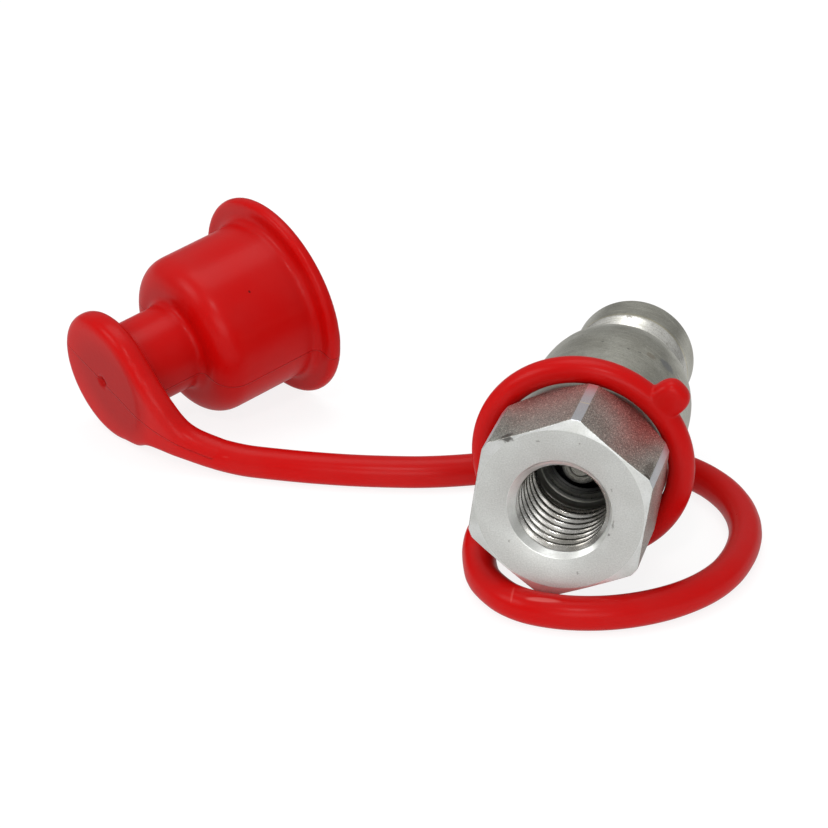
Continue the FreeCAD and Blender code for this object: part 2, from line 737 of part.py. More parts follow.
def swept(name, points, diameter):
    """A round section carried along the route through the points."""
    wire, radii = route(points)
    spine = doc.addObject("Part::Feature", f"{name}_path")
    spine.Shape = wire
    section = doc.addObject("Part::Circle", f"{name}_section")
    section.Radius = number(diameter) / 2
    section.setExpression("Radius", f"( {cell(diameter)} ) / 2")
    heading = (points[1] - points[0]).normalize()
    section.Placement = Placement(points[0], Rotation(Vector(0, 0, 1), heading))
    sweep = doc.addObject("Part::Sweep", name)
    sweep.Sections = [section]
    sweep.Spine = (spine, [f"Edge{index + 1}" for index in range(len(wire.Edges))])
    sweep.Solid = True
    sweep.Frenet = False
    doc.recompute()
    print(name, "length", round(wire.Length, 2), "radii", [round(radius, 1) for radius in radii])
    print(name, "volume", round(sweep.Shape.Volume, 1), "section x length",
          round(math.pi * (number(diameter) / 2) ** 2 * wire.Length, 1))
    return sweep


# The strap lies on the ground from the ring's root, round the port, under the nose, to the cap.
# Places are seen from the same mark.
LAID = size["strap_diameter"] / 2
root_turn = math.radians(size["root_angle"])
root_start = ring_place.multVec(
    Vector(ring_radius * math.cos(root_turn), -ring_radius * math.sin(root_turn), 0))
LOOP = [
    (-14.35, -10.3, LAID + 0.02),
    (-12.1, -15.0, LAID),
    (-6.6, -20.4, LAID),
    (1.5, -21.6, LAID),
    (10.0, -19.3, LAID),
    (17.8, -13.6, LAID),
    (23.2, -5.4, LAID),
    (25.2, 4.2, LAID),
    (24.8, 13.7, LAID),
    (21.3, 23.1, LAID),
    (15.1, 30.5, LAID),
    (7.0, 34.6, LAID),
    (-2.6, 34.3, LAID),
    (-14.2, 29.0, LAID),
    (-28.1, 21.9, LAID),
    (-40.3, 19.4, LAID),
    (-49.5, 18.5, LAID),
    (-56.6, 18.3, LAID + 0.02),
]
cap_place = dust_cap.Placement
root_end = cap_place.multVec(ROOT_SECTIONS[-1][0])
root_heading = cap_place.Rotation.multVec(ROOT_SECTIONS[-1][1]).normalize()
loop_points = [Vector(*point) + shift for point in LOOP]
root_exit = Vector(-15.35, -6.3, 3.3) + shift
exit_heading = (loop_points[0] - root_exit).normalize()
stub_points = [
    root_start + shift,
    Vector(-15.4, 0.2, 5.2) + shift,
    root_exit - exit_heading * 2.9,
    root_exit,
]
strap_points = [root_exit] + loop_points + [root_end + root_heading * 3.8, root_end]
ring_root = swept("ring_root", stub_points, "strap_diameter")
cap_strap = swept("cap_strap", strap_points, "strap_diameter")
cap_strap.Label = "cap_strap"

strap_ring = doc.addObject("Part::Fuse", "strap_ring")
strap_ring.Base = ring_band
strap_ring.Tool = ring_root
strap_ring.Label = "strap_ring"
doc.recompute()

NODES = [
    plug_body, poppet, poppet_seal, poppet_spring, valve_guide, retaining_ring,
    dust_cap, cap_strap, strap_ring,
]
for item in doc.Objects:
    if {"Invalid", "Error"} & set(item.State):
        raise ValueError(f"{item.Name} did not recompute: {item.State}")
os.makedirs("parts", exist_ok=True)
for node in NODES:
    shape = node.Shape
    if shape.isNull() or not shape.isValid() or len(shape.Solids) != 1:
        raise ValueError(f"{node.Label} is not one good solid")
    shape.exportStep(f"parts/{node.Label}.step")
    print(node.Label, "volume", round(shape.Volume, 1), shape.BoundBox)
print("shift", shift, "cap rise", round(math.degrees(cap_rise), 3), "cap height", round(cap_height, 3))
print("plug base", plug_place.Base + shift, "ring middle", ring_place.Base + shift)
print("strap", [tuple(round(value, 3) for value in point) for point in strap_points])
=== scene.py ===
import json
import logging
import math
from dataclasses import dataclass, field
from enum import Enum
from typing import Sequence

import bmesh
import bpy
import numpy as np
from mathutils import Matrix, Vector


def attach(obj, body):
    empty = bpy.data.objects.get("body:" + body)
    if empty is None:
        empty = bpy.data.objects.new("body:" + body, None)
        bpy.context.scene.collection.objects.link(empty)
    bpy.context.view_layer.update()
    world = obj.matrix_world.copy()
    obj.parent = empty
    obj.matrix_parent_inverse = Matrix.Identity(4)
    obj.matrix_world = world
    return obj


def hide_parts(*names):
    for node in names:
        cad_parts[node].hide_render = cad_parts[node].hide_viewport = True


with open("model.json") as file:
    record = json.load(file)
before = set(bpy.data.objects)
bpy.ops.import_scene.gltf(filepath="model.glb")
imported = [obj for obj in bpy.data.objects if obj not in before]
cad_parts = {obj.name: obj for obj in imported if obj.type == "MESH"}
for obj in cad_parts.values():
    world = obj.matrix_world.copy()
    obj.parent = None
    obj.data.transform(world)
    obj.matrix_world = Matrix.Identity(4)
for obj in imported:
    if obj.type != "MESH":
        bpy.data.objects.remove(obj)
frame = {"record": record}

# The male half of a hydraulic quick coupler, lying on its strap's ring, with its dust cap beside it.
# Sizes are in millimetres where a class or a function says so, and in metres elsewhere.

LOG = logging.getLogger("quick_coupler")
MM = 0.001
Array = np.ndarray


class Zone(Enum):
    """The finishes of the plug's body, some with painted shade and painted highlight, in the order of
    its material slots.
    """

    TURNED = 0
    FLAT = 1
    FACE = 2
    BORE = 3
    THREAD = 4
    STRIP = 5
    CONE = 6


def record_mount(name: str) -> dict:
    """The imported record's mount with this name."""
    return next(mount for mount in frame["record"]["mounts"] if mount["name"] == name)


@dataclass(frozen=True)
class Axes:
    """A local frame: an origin in metres and three unit directions."""

    origin: Array
    x: Array
    y: Array
    z: Array

    def place(self, points: Array) -> Array:
        """Points from local millimetres to the frame's metres.

        Args:
            points: An array whose last axis holds local x, y and z in millimetres.

        Returns:
            An array of the same shape in metres.
        """
        basis = np.stack([self.x, self.y, self.z])
        return self.origin + points @ basis * MM

    def angles(self) -> tuple[float, float, float]:
        """Euler angles that turn the row's directions into this frame's."""
        turn = Matrix([self.x, self.y, self.z])
        return tuple(turn.to_euler())


def unit(vector: Sequence[float]) -> Array:
    """The vector at length one."""
    array = np.asarray(vector, dtype=float)
    return array / np.linalg.norm(array)


def mesh_piece(name: str, points: Array, faces: Array) -> bpy.types.Object:
    """A mesh object from points and faces.

    Args:
        name: The piece's name.
        points: Vertex places in metres, one row each.
        faces: Vertex numbers, one row of four for each face.

    Returns:
        The object, linked to the scene.
    """
    mesh = bpy.data.meshes.new(name)
    mesh.from_pydata(points.tolist(), [], faces.tolist())
    piece = bpy.data.objects.new(name, mesh)
    bpy.context.scene.collection.objects.link(piece)
    return piece


def grid_faces(rows: int, columns: int, closed_rows: bool) -> Array:
    """Quads between the rows and columns of a grid whose columns close on themselves.

    Face (i, j) joins rows i and i + 1 between columns j and j + 1.
    """
    last = rows if closed_rows else rows - 1
    i, j = np.meshgrid(np.arange(last), np.arange(columns), indexing="ij")
    k = (i + 1) % rows
    following = (j + 1) % columns
    quads = [i * columns + j, i * columns + following, k * columns + following, k * columns + j]
    return np.stack(quads, axis=-1).reshape(-1, 4)


def cleaned(piece: bpy.types.Object, merge: float = 2e-7) -> bpy.types.Object:
    """Merge doubles, turn the faces outwards and shade them smooth."""
    shape = bmesh.new()
    shape.from_mesh(piece.data)
    bmesh.ops.remove_doubles(shape, verts=shape.verts, dist=merge)
    bmesh.ops.dissolve_degenerate(shape, edges=shape.edges, dist=1e-9)
    bmesh.ops.recalc_face_normals(shape, faces=shape.faces)
    shape.to_mesh(piece.data)
    shape.free()
    piece.data.polygons.foreach_set("use_smooth", np.ones(len(piece.data.polygons), dtype=bool))
    piece.data.update()
    return piece


def corner_rows(before: Array, here: Array, after: Array, room: Array, steps: int) -> list[Array]:
    """Rows that round a profile's corner with an arc.

    The arc is a conic from a point short of the corner to a point past it, with one more row
    outside each end, so that the shading of the runs beside it stays flat.

    Args:
        before: The profile's point before the corner, as (station, radius) for each column.
        here: The corner.
        after: The point after the corner.
        room: How far from the corner the arc begins, in millimetres, for each column.
        steps: How many pieces the arc has.

    Returns:
        The rows, each an array of (station, radius) for each column.
    """
    back = before - here
    ahead = after - here
    back = back / np.maximum(np.linalg.norm(back, axis=-1, keepdims=True), 1e-9)
    ahead = ahead / np.maximum(np.linalg.norm(ahead, axis=-1, keepdims=True), 1e-9)
    cosine = -(back * ahead).sum(-1, keepdims=True)
    weight = np.sqrt(np.clip((1.0 + cosine) / 2.0, 0.01, 1.0))
    room = room[:, None]
    start = here + back * room
    end = here + ahead * room
    rows = [here + back * room * 1.1]
    for share in np.linspace(0.0, 1.0, steps + 1):
        pull = 2.0 * weight * share * (1.0 - share)
        total = (1.0 - share) ** 2 + pull + share**2
        rows.append(((1.0 - share) ** 2 * start + pull * here + share**2 * end) / total)
    rows.append(here + ahead * room * 1.1)
    return rows


def rounded_profile(
    corners: list[tuple[Array | float, Array | float, float]],
    columns: int,
    steps: int = 4,
) -> Array:
    """An open profile's rows with each inner corner rounded.

    Two corners that want more of the run between them than it has share it by what they want.

    Args:
        corners: (station, radius, reach of the round) in millimetres; the first two may vary by
            column, and a reach of 0 keeps the corner as it is.
        columns: How many columns the surface has.
        steps: How many pieces each round has.

    Returns:
        An array of (rows, columns, 2) holding station and radius.
    """
    places = np.stack([
        np.stack([np.broadcast_to(station, columns), np.broadcast_to(radius, columns)], axis=-1)
        for station, radius, _ in corners
    ])
    wanted = np.array([reach for _, _, reach in corners], dtype=float)
    wanted[[0, -1]] = 0.0
    lengths = np.linalg.norm(np.diff(places, axis=0), axis=-1)
    needs = np.maximum(wanted[:-1] + wanted[1:], 1e-9)[:, None]
    share = np.minimum(lengths * 0.88 / needs, 1.0)
    room = wanted[1:-1, None] * np.minimum(share[:-1], share[1:])
    rows: list[Array] = [places[0]]
    for index in range(1, len(corners) - 1):
        if wanted[index] <= 0:
            rows.append(places[index])
            continue
        rows.extend(corner_rows(*places[index - 1:index + 2], room[index - 1], steps))
    rows.append(places[-1])
    return np.stack(rows)


def spun_grid(profile: Array, angles: Array, axes: Axes) -> Array:
    """Carry (station, radius) rows round an axis: x = r cos a, y = r sin a, z = station."""
    station, radius = profile[..., 0], profile[..., 1]
    local = np.stack([radius * np.cos(angles), radius * np.sin(angles), station], axis=-1)
    return axes.place(local)


def tube_grid(middle: Array, half_wide: Array, half_thick: Array, wide_way: Array, columns: int
              ) -> Array:
    """A tube along a line of points with its ends closed to a point.

    Where it is wider than thick, its section is a flat strip between two half circles.

    Args:
        middle: The line's points.
        half_wide: Half the tube's width at each point.
        half_thick: Half its thickness at each point.
        wide_way: The wanted width direction, which is made square to the line.
        columns: How many columns the tube has.

    Returns:
        The grid, in the units of the line.
    """
    heading = np.gradient(middle, axis=0)
    heading /= np.linalg.norm(heading, axis=-1, keepdims=True)
    side = wide_way - (heading * wide_way).sum(-1, keepdims=True) * heading
    side /= np.linalg.norm(side, axis=-1, keepdims=True)
    up = np.cross(heading, side)
    angle = np.linspace(0, 2 * math.pi, columns, endpoint=False)[None, :]
    end = np.minimum(half_wide, half_thick)[:, None]
    across = (half_wide[:, None] - end) * np.clip(np.cos(angle) / 0.2, -1, 1) + end * np.cos(angle)
    above = half_thick[:, None] * np.sin(angle)
    ring = middle[:, None] + across[..., None] * side[:, None] + above[..., None] * up[:, None]
    first = np.broadcast_to(middle[:1, None], ring[:1].shape)
    last = np.broadcast_to(middle[-1:, None], ring[-1:].shape)
    return np.concatenate([first, ring, last])


def spline_points(corners: Array, per_run: int = 12) -> Array:
    """Points of the smooth curve that starts and ends on the route and touches its runs' middles.

    Between two run middles it is the parabola that their shared corner pulls.
    """
    middles = (corners[:-1] + corners[1:]) / 2
    stops = np.concatenate([corners[:1], middles[1:-1], corners[-1:]])
    share = np.linspace(0.0, 1.0, per_run, endpoint=False)[:, None]
    parts = [
        (1 - share) ** 2 * stops[i] + 2 * share * (1 - share) * corners[i + 1] + share**2 * stops[i + 1]
        for i in range(len(corners) - 2)
    ]
    return np.concatenate(parts + [corners[-1:]])


def fused(name: str, grids: list[Array], cell: float, smoothing: int) -> bpy.types.Object:
    """One skin over several closed grids, as a moulding flows where its forms meet.

    Args:
        name: The piece's name.
        grids: Closed grids of points in metres, which overlap.
        cell: The size of the skin's faces, in metres.
        smoothing: How many times the skin is evened.

    Returns:
        The object, with its modifiers applied.
    """
    points: list[Array] = []
    faces: list[Array] = []
    offset = 0
    for grid in grids:
        rows, columns = grid.shape[:2]
        closed = np.allclose(grid[0], grid[-1]) and np.ptp(grid[0], axis=0).max() > 1e-6
        used = grid[:-1] if closed else grid
        points.append(used.reshape(-1, 3))
        faces.append(grid_faces(len(used), columns, closed) + offset)
        offset += len(used) * columns
    piece = cleaned(mesh_piece(name, np.concatenate(points), np.concatenate(faces)))
    skin = piece.modifiers.new("skin", "REMESH")
    skin.mode = "VOXEL"
    skin.voxel_size = cell
    even = piece.modifiers.new("even", "SMOOTH")
    even.factor = 0.5
    even.iterations = smoothing
    graph = bpy.context.evaluated_depsgraph_get()
    mesh = bpy.data.meshes.new_from_object(piece.evaluated_get(graph))
    piece.modifiers.clear()
    piece.data = mesh
    mesh.polygons.foreach_set("use_smooth", np.ones(len(mesh.polygons), dtype=bool))
    return piece


@dataclass
class NodeBoard:
    """Builds one material's nodes in few words."""

    name: str
    material: bpy.types.Material = field(init=False)

    def __post_init__(self) -> None:
        """Start an empty node tree with a shader and an output."""
        self.material = bpy.data.materials.new(self.name)
        self.material.use_nodes = True
        self.tree = self.material.node_tree
        self.tree.nodes.clear()
        self.output = self.tree.nodes.new("ShaderNodeOutputMaterial")
        self.shader = self.tree.nodes.new("ShaderNodeBsdfPrincipled")
        self.link(self.shader.outputs["BSDF"], self.output.inputs["Surface"])

    def link(self, start: bpy.types.NodeSocket, end: bpy.types.NodeSocket) -> None:
        """Join two sockets."""
        self.tree.links.new(start, end)

    def feed(self, socket: bpy.types.NodeSocket, value: object) -> None:
        """Set a socket to a number or colour, or join another socket to it."""
        if isinstance(value, bpy.types.NodeSocket):
            self.link(value, socket)
        elif isinstance(value, tuple) and len(value) == 3 and socket.type == "RGBA":
            socket.default_value = (*value, 1.0)
        else:
            socket.default_value = value

    def places(self, axes: Axes | None = None) -> bpy.types.NodeSocket:
        """Object coordinates, in the given local frame if there is one, in millimetres."""
        source = self.tree.nodes.new("ShaderNodeTexCoord").outputs["Object"]
        mapping = self.tree.nodes.new("ShaderNodeMapping")
        mapping.vector_type = "POINT"
        mapping.inputs["Scale"].default_value = (1000.0, 1000.0, 1000.0)
        if axes is None:
            self.link(source, mapping.inputs["Vector"])
            return mapping.outputs["Vector"]
        shift = self.tree.nodes.new("ShaderNodeMapping")
        shift.inputs["Location"].default_value = tuple(-axes.origin)
        self.link(source, shift.inputs["Vector"])
        mapping.inputs["Rotation"].default_value = axes.angles()
        self.link(shift.outputs["Vector"], mapping.inputs["Vector"])
        return mapping.outputs["Vector"]

    def split(self, vector: bpy.types.NodeSocket) -> list[bpy.types.NodeSocket]:
        """The three parts of a vector."""
        node = self.tree.nodes.new("ShaderNodeSeparateXYZ")
        self.link(vector, node.inputs["Vector"])
        return list(node.outputs)

    def joined(self, *parts: object) -> bpy.types.NodeSocket:
        """A vector from three numbers or sockets."""
        node = self.tree.nodes.new("ShaderNodeCombineXYZ")
        for socket, part in zip(node.inputs, parts):
            self.feed(socket, part)
        return node.outputs["Vector"]

    def sum(self, operation: str, first: object, second: object = 0.0, clamp: bool = False
            ) -> bpy.types.NodeSocket:
        """One step of arithmetic."""
        node = self.tree.nodes.new("ShaderNodeMath")
        node.operation = operation
        node.use_clamp = clamp
        self.feed(node.inputs[0], first)
        self.feed(node.inputs[1], second)
        return node.outputs["Value"]

    def noise(self, vector: bpy.types.NodeSocket, scale: float, detail: float = 3.0,
              roughness: float = 0.5) -> bpy.types.NodeSocket:
        """A soft noise between 0 and 1."""
        node = self.tree.nodes.new("ShaderNodeTexNoise")
        self.link(vector, node.inputs["Vector"])
        node.inputs["Scale"].default_value = scale
        node.inputs["Detail"].default_value = detail
        node.inputs["Roughness"].default_value = roughness
        return node.outputs["Fac"]

    def specks(self, vector: bpy.types.NodeSocket, scale: float) -> bpy.types.NodeSocket:
        """Distance to the nearest of many scattered points."""
        node = self.tree.nodes.new("ShaderNodeTexVoronoi")
        self.link(vector, node.inputs["Vector"])
        node.inputs["Scale"].default_value = scale
        return node.outputs["Distance"]

    def ramp(self, value: bpy.types.NodeSocket, low: float, high: float,
             start: float = 0.0, end: float = 1.0) -> bpy.types.NodeSocket:
        """Run a value smoothly from start at low to end at high."""
        node = self.tree.nodes.new("ShaderNodeMapRange")
        node.interpolation_type = "SMOOTHSTEP"
        self.link(value, node.inputs["Value"])
        node.inputs["From Min"].default_value = low
        node.inputs["From Max"].default_value = high
        node.inputs["To Min"].default_value = start
        node.inputs["To Max"].default_value = end
        return node.outputs["Result"]

    def near(self, vector: bpy.types.NodeSocket, mark: "Mark") -> bpy.types.NodeSocket:
        """How much of a mark there is at a place, from 0 outside it to its share inside."""
        inside = self.tree.nodes.new("ShaderNodeMapping")
        inside.vector_type = "TEXTURE"
        inside.inputs["Location"].default_value = mark.place
        inside.inputs["Scale"].default_value = mark.radii
        self.link(vector, inside.inputs["Vector"])
        length = self.tree.nodes.new("ShaderNodeVectorMath")
        length.operation = "LENGTH"
        self.link(inside.outputs["Vector"], length.inputs[0])
        return self.ramp(length.outputs["Value"], 1.0, 0.55, 0.0, mark.share)

    def wobbled(self, vector: bpy.types.NodeSocket, scale: float, reach: float
                ) -> bpy.types.NodeSocket:
        """The vector moved about by a noise, so that marks have ragged edges."""
        node = self.tree.nodes.new("ShaderNodeTexNoise")
        self.link(vector, node.inputs["Vector"])
        node.inputs["Scale"].default_value = scale
        shift = self.tree.nodes.new("ShaderNodeVectorMath")
        shift.operation = "MULTIPLY_ADD"
        self.link(node.outputs["Color"], shift.inputs[0])
        shift.inputs[1].default_value = (reach, reach, reach)
        self.link(vector, shift.inputs[2])
        centred = self.tree.nodes.new("ShaderNodeVectorMath")
        centred.operation = "SUBTRACT"
        self.link(shift.outputs["Vector"], centred.inputs[0])
        centred.inputs[1].default_value = (reach / 2, reach / 2, reach / 2)
        return centred.outputs["Vector"]

    def mix(self, share: object, first: object, second: object) -> bpy.types.NodeSocket:
        """A colour between two colours."""
        node = self.tree.nodes.new("ShaderNodeMix")
        node.data_type = "RGBA"
        self.feed(node.inputs["Factor"], share)
        self.feed(node.inputs["A"], first)
        self.feed(node.inputs["B"], second)
        return node.outputs["Result"]

    def bump(self, height: bpy.types.NodeSocket, depth: float, strength: float = 1.0,
             under: bpy.types.NodeSocket | None = None) -> bpy.types.NodeSocket:
        """A normal bent by a height between 0 and 1, whose depth is in metres."""
        node = self.tree.nodes.new("ShaderNodeBump")
        node.inputs["Strength"].default_value = strength
        node.inputs["Distance"].default_value = depth
        self.link(height, node.inputs["Height"])
        if under is not None:
            self.link(under, node.inputs["Normal"])
        return node.outputs["Normal"]

    def dress(self, **values: object) -> bpy.types.Material:
        """Set the shader's sockets, with underscores for spaces, and return the material."""
        for key, value in values.items():
            self.feed(self.shader.inputs[key.replace("_", " ")], value)
        return self.material


@dataclass(frozen=True)
class Mark:
    """One stain, pit, bright nick, patch of painted shade or painted highlight at its own place, in
    local millimetres.
    """

    place: tuple[float, float, float]
    radii: tuple[float, float, float]
    colour: tuple[float, float, float]
    share: float = 0.8


@dataclass(frozen=True)
class Band:
    """A length of the surface whose colour differs, between two stations in millimetres; some are
    painted shade and some painted highlight.
    """

    start: float
    end: float
    colour: tuple[float, float, float]
    share: float = 1.0


@dataclass(frozen=True)
class Steel:
    """Zinc plated steel as a tool leaves it.

    Attributes:
        name: The material's name.
        base: The metal's colour; near black where it is painted shade in the bore and on the valve
            guide.
        stain: The colour of its duller patches.
        roughness: Its roughness between marks.
        ring_pitch: How far apart the tool's rings are, in millimetres; 0 for no rings.
        ring_depth: How deep they are, in metres.
        grain_depth: How deep its fine grain is, in metres.
        pits: Share of the surface that small dark pits take, from 0 to 1.
        anisotropic: How much its shine is drawn out along the tool's rings.
        speckle: How much its brightness varies from grain to grain, from 0 to 1.
        streaks: How strong its turned streaks and patches are, from 0 to 1.
        metallic: How much it shines as bare metal does, the rest being dull scatter.
        bands: Lengths whose colour differs, some of them painted shade and painted highlight.
        marks: Single stains, pits and nicks.
    """

    name: str
    base: tuple[float, float, float]
    stain: tuple[float, float, float]
    roughness: float
    ring_pitch: float = 0.0
    ring_depth: float = 0.0
    grain_depth: float = 3e-6
    pits: float = 0.02
    anisotropic: float = 0.0
    speckle: float = 0.0
    streaks: float = 0.0
    bands: tuple[Band, ...] = ()
    marks: tuple[Mark, ...] = ()
    metallic: float = 1.0

    def make(self, axes: Axes) -> bpy.types.Material:
        """The material, with its rings round the axis of the given frame."""
        board = NodeBoard(self.name)
        local = board.places(axes)
        x, y, station = board.split(local)
        radius = board.sum("SQRT", board.sum("ADD", board.sum("MULTIPLY", x, x),
                                             board.sum("MULTIPLY", y, y)))
        cloud = board.noise(local, 0.16, 4.0)
        grain = board.noise(local, 3.2, 6.0, 0.65)
        colour = board.mix(board.ramp(cloud, 0.35, 0.7), self.base, self.stain)
        spot = board.specks(local, 0.55)
        size = board.noise(local, 0.9, 1.0)
        limit = board.sum("MULTIPLY", size, self.pits * 6.0)
        pit = board.sum("LESS_THAN", spot, board.sum("SUBTRACT", limit, self.pits * 2.4))
        for band in self.bands:
            rise = board.ramp(station, band.start - 0.15, band.start + 0.15)
            fall = board.ramp(station, band.end + 0.15, band.end - 0.15, 0.0, band.share)
            colour = board.mix(board.sum("MULTIPLY", rise, fall), colour, band.colour)
        dark = tuple(part * 0.25 for part in self.stain)
        if self.pits > 0:
            colour = board.mix(board.sum("MULTIPLY", pit, 0.75), colour, dark)
        if self.speckle > 0:
            fine = board.noise(local, 4.2, 2.0, 0.6)
            colour = board.mix(board.ramp(fine, 0.50, 0.62, 0.0, self.speckle), colour,
                               tuple(part * 0.4 for part in self.base))
            colour = board.mix(board.ramp(fine, 0.45, 0.36, 0.0, self.speckle), colour,
                               tuple(min(part * 1.7, 0.95) for part in self.base))
        if self.streaks > 0:
            around = board.joined(board.sum("MULTIPLY", station, 3.4),
                                  board.sum("MULTIPLY", x, 0.22), board.sum("MULTIPLY", y, 0.22))
            streak = board.noise(around, 1.0, 4.0, 0.62)
            colour = board.mix(board.ramp(streak, 0.50, 0.68, 0.0, self.streaks), colour, self.stain)
            colour = board.mix(board.ramp(streak, 0.46, 0.30, 0.0, self.streaks * 0.8), colour,
                               tuple(min(part * 1.35, 0.95) for part in self.base))
            patch = board.noise(local, 0.75, 5.0, 0.68)
            colour = board.mix(board.ramp(patch, 0.50, 0.68, 0.0, self.streaks * 0.6), colour,
                               tuple(part * 0.75 for part in self.stain))
        ragged = board.wobbled(local, 2.2, 0.9)
        for mark in self.marks:
            colour = board.mix(board.near(ragged, mark), colour, mark.colour)
        change = 0.22 if self.grain_depth > 0 else 0.02
        rough = board.sum("ADD", self.roughness,
                          board.sum("MULTIPLY", board.sum("SUBTRACT", grain, 0.5), change))
        normal = board.bump(grain, self.grain_depth)
        if self.ring_pitch > 0:
            across = board.joined(board.sum("DIVIDE", station, self.ring_pitch),
                                  board.sum("DIVIDE", radius, self.ring_pitch), 0.0)
            rings = board.noise(across, 1.0, 4.0, 0.7)
            normal = board.bump(rings, self.ring_depth, under=normal)
            rough = board.sum("ADD", rough,
                              board.sum("MULTIPLY", board.sum("SUBTRACT", rings, 0.5), 0.16))
        return board.dress(
            Base_Color=colour, Metallic=self.metallic, Roughness=board.sum("MAXIMUM", rough, 0.08),
            Normal=normal, Anisotropic=self.anisotropic,
        )


@dataclass(frozen=True)
class SoftRed:
    """The cap's moulded red plastic, with its parting line.

    Attributes:
        name: The material's name.
        base: Its colour.
        faded: The colour of its duller patches.
        seam: Half the width of the parting line, in millimetres; 0 for none.
        marks: Single scuffs and pits, and spots of painted shade and painted highlight.
    """

    name: str
    base: tuple[float, float, float] = (0.47, 0.0016, 0.0013)
    faded: tuple[float, float, float] = (0.45, 0.0065, 0.0060)
    seam: float = 0.16
    marks: tuple[Mark, ...] = ()

    def make(self, axes: Axes | None = None) -> bpy.types.Material:
        """The material, with its parting line where the frame's local y is 0."""
        board = NodeBoard(self.name)
        local = board.places(axes)
        _, across, _ = board.split(local)
        cloud = board.noise(local, 0.10, 3.0)
        skin = board.noise(local, 1.3, 3.0, 0.55)
        colour = board.mix(board.ramp(cloud, 0.35, 0.75), self.base, self.faded)
        for mark in self.marks:
            colour = board.mix(board.near(local, mark), colour, mark.colour)
        normal = board.bump(skin, 8e-6)
        if axes is not None and self.seam > 0:
            off = board.sum("ABSOLUTE", across)
            line = board.ramp(off, self.seam, self.seam * 0.3)
            normal = board.bump(line, 1.1e-4, under=normal)
            colour = board.mix(board.sum("MULTIPLY", line, 0.35), colour, (0.24, 0.001, 0.001))
        rough = board.sum("ADD", 0.25, board.sum("MULTIPLY", skin, 0.10))
        return board.dress(Base_Color=colour, Roughness=rough, Normal=normal,
                           Specular_IOR_Level=0.12)


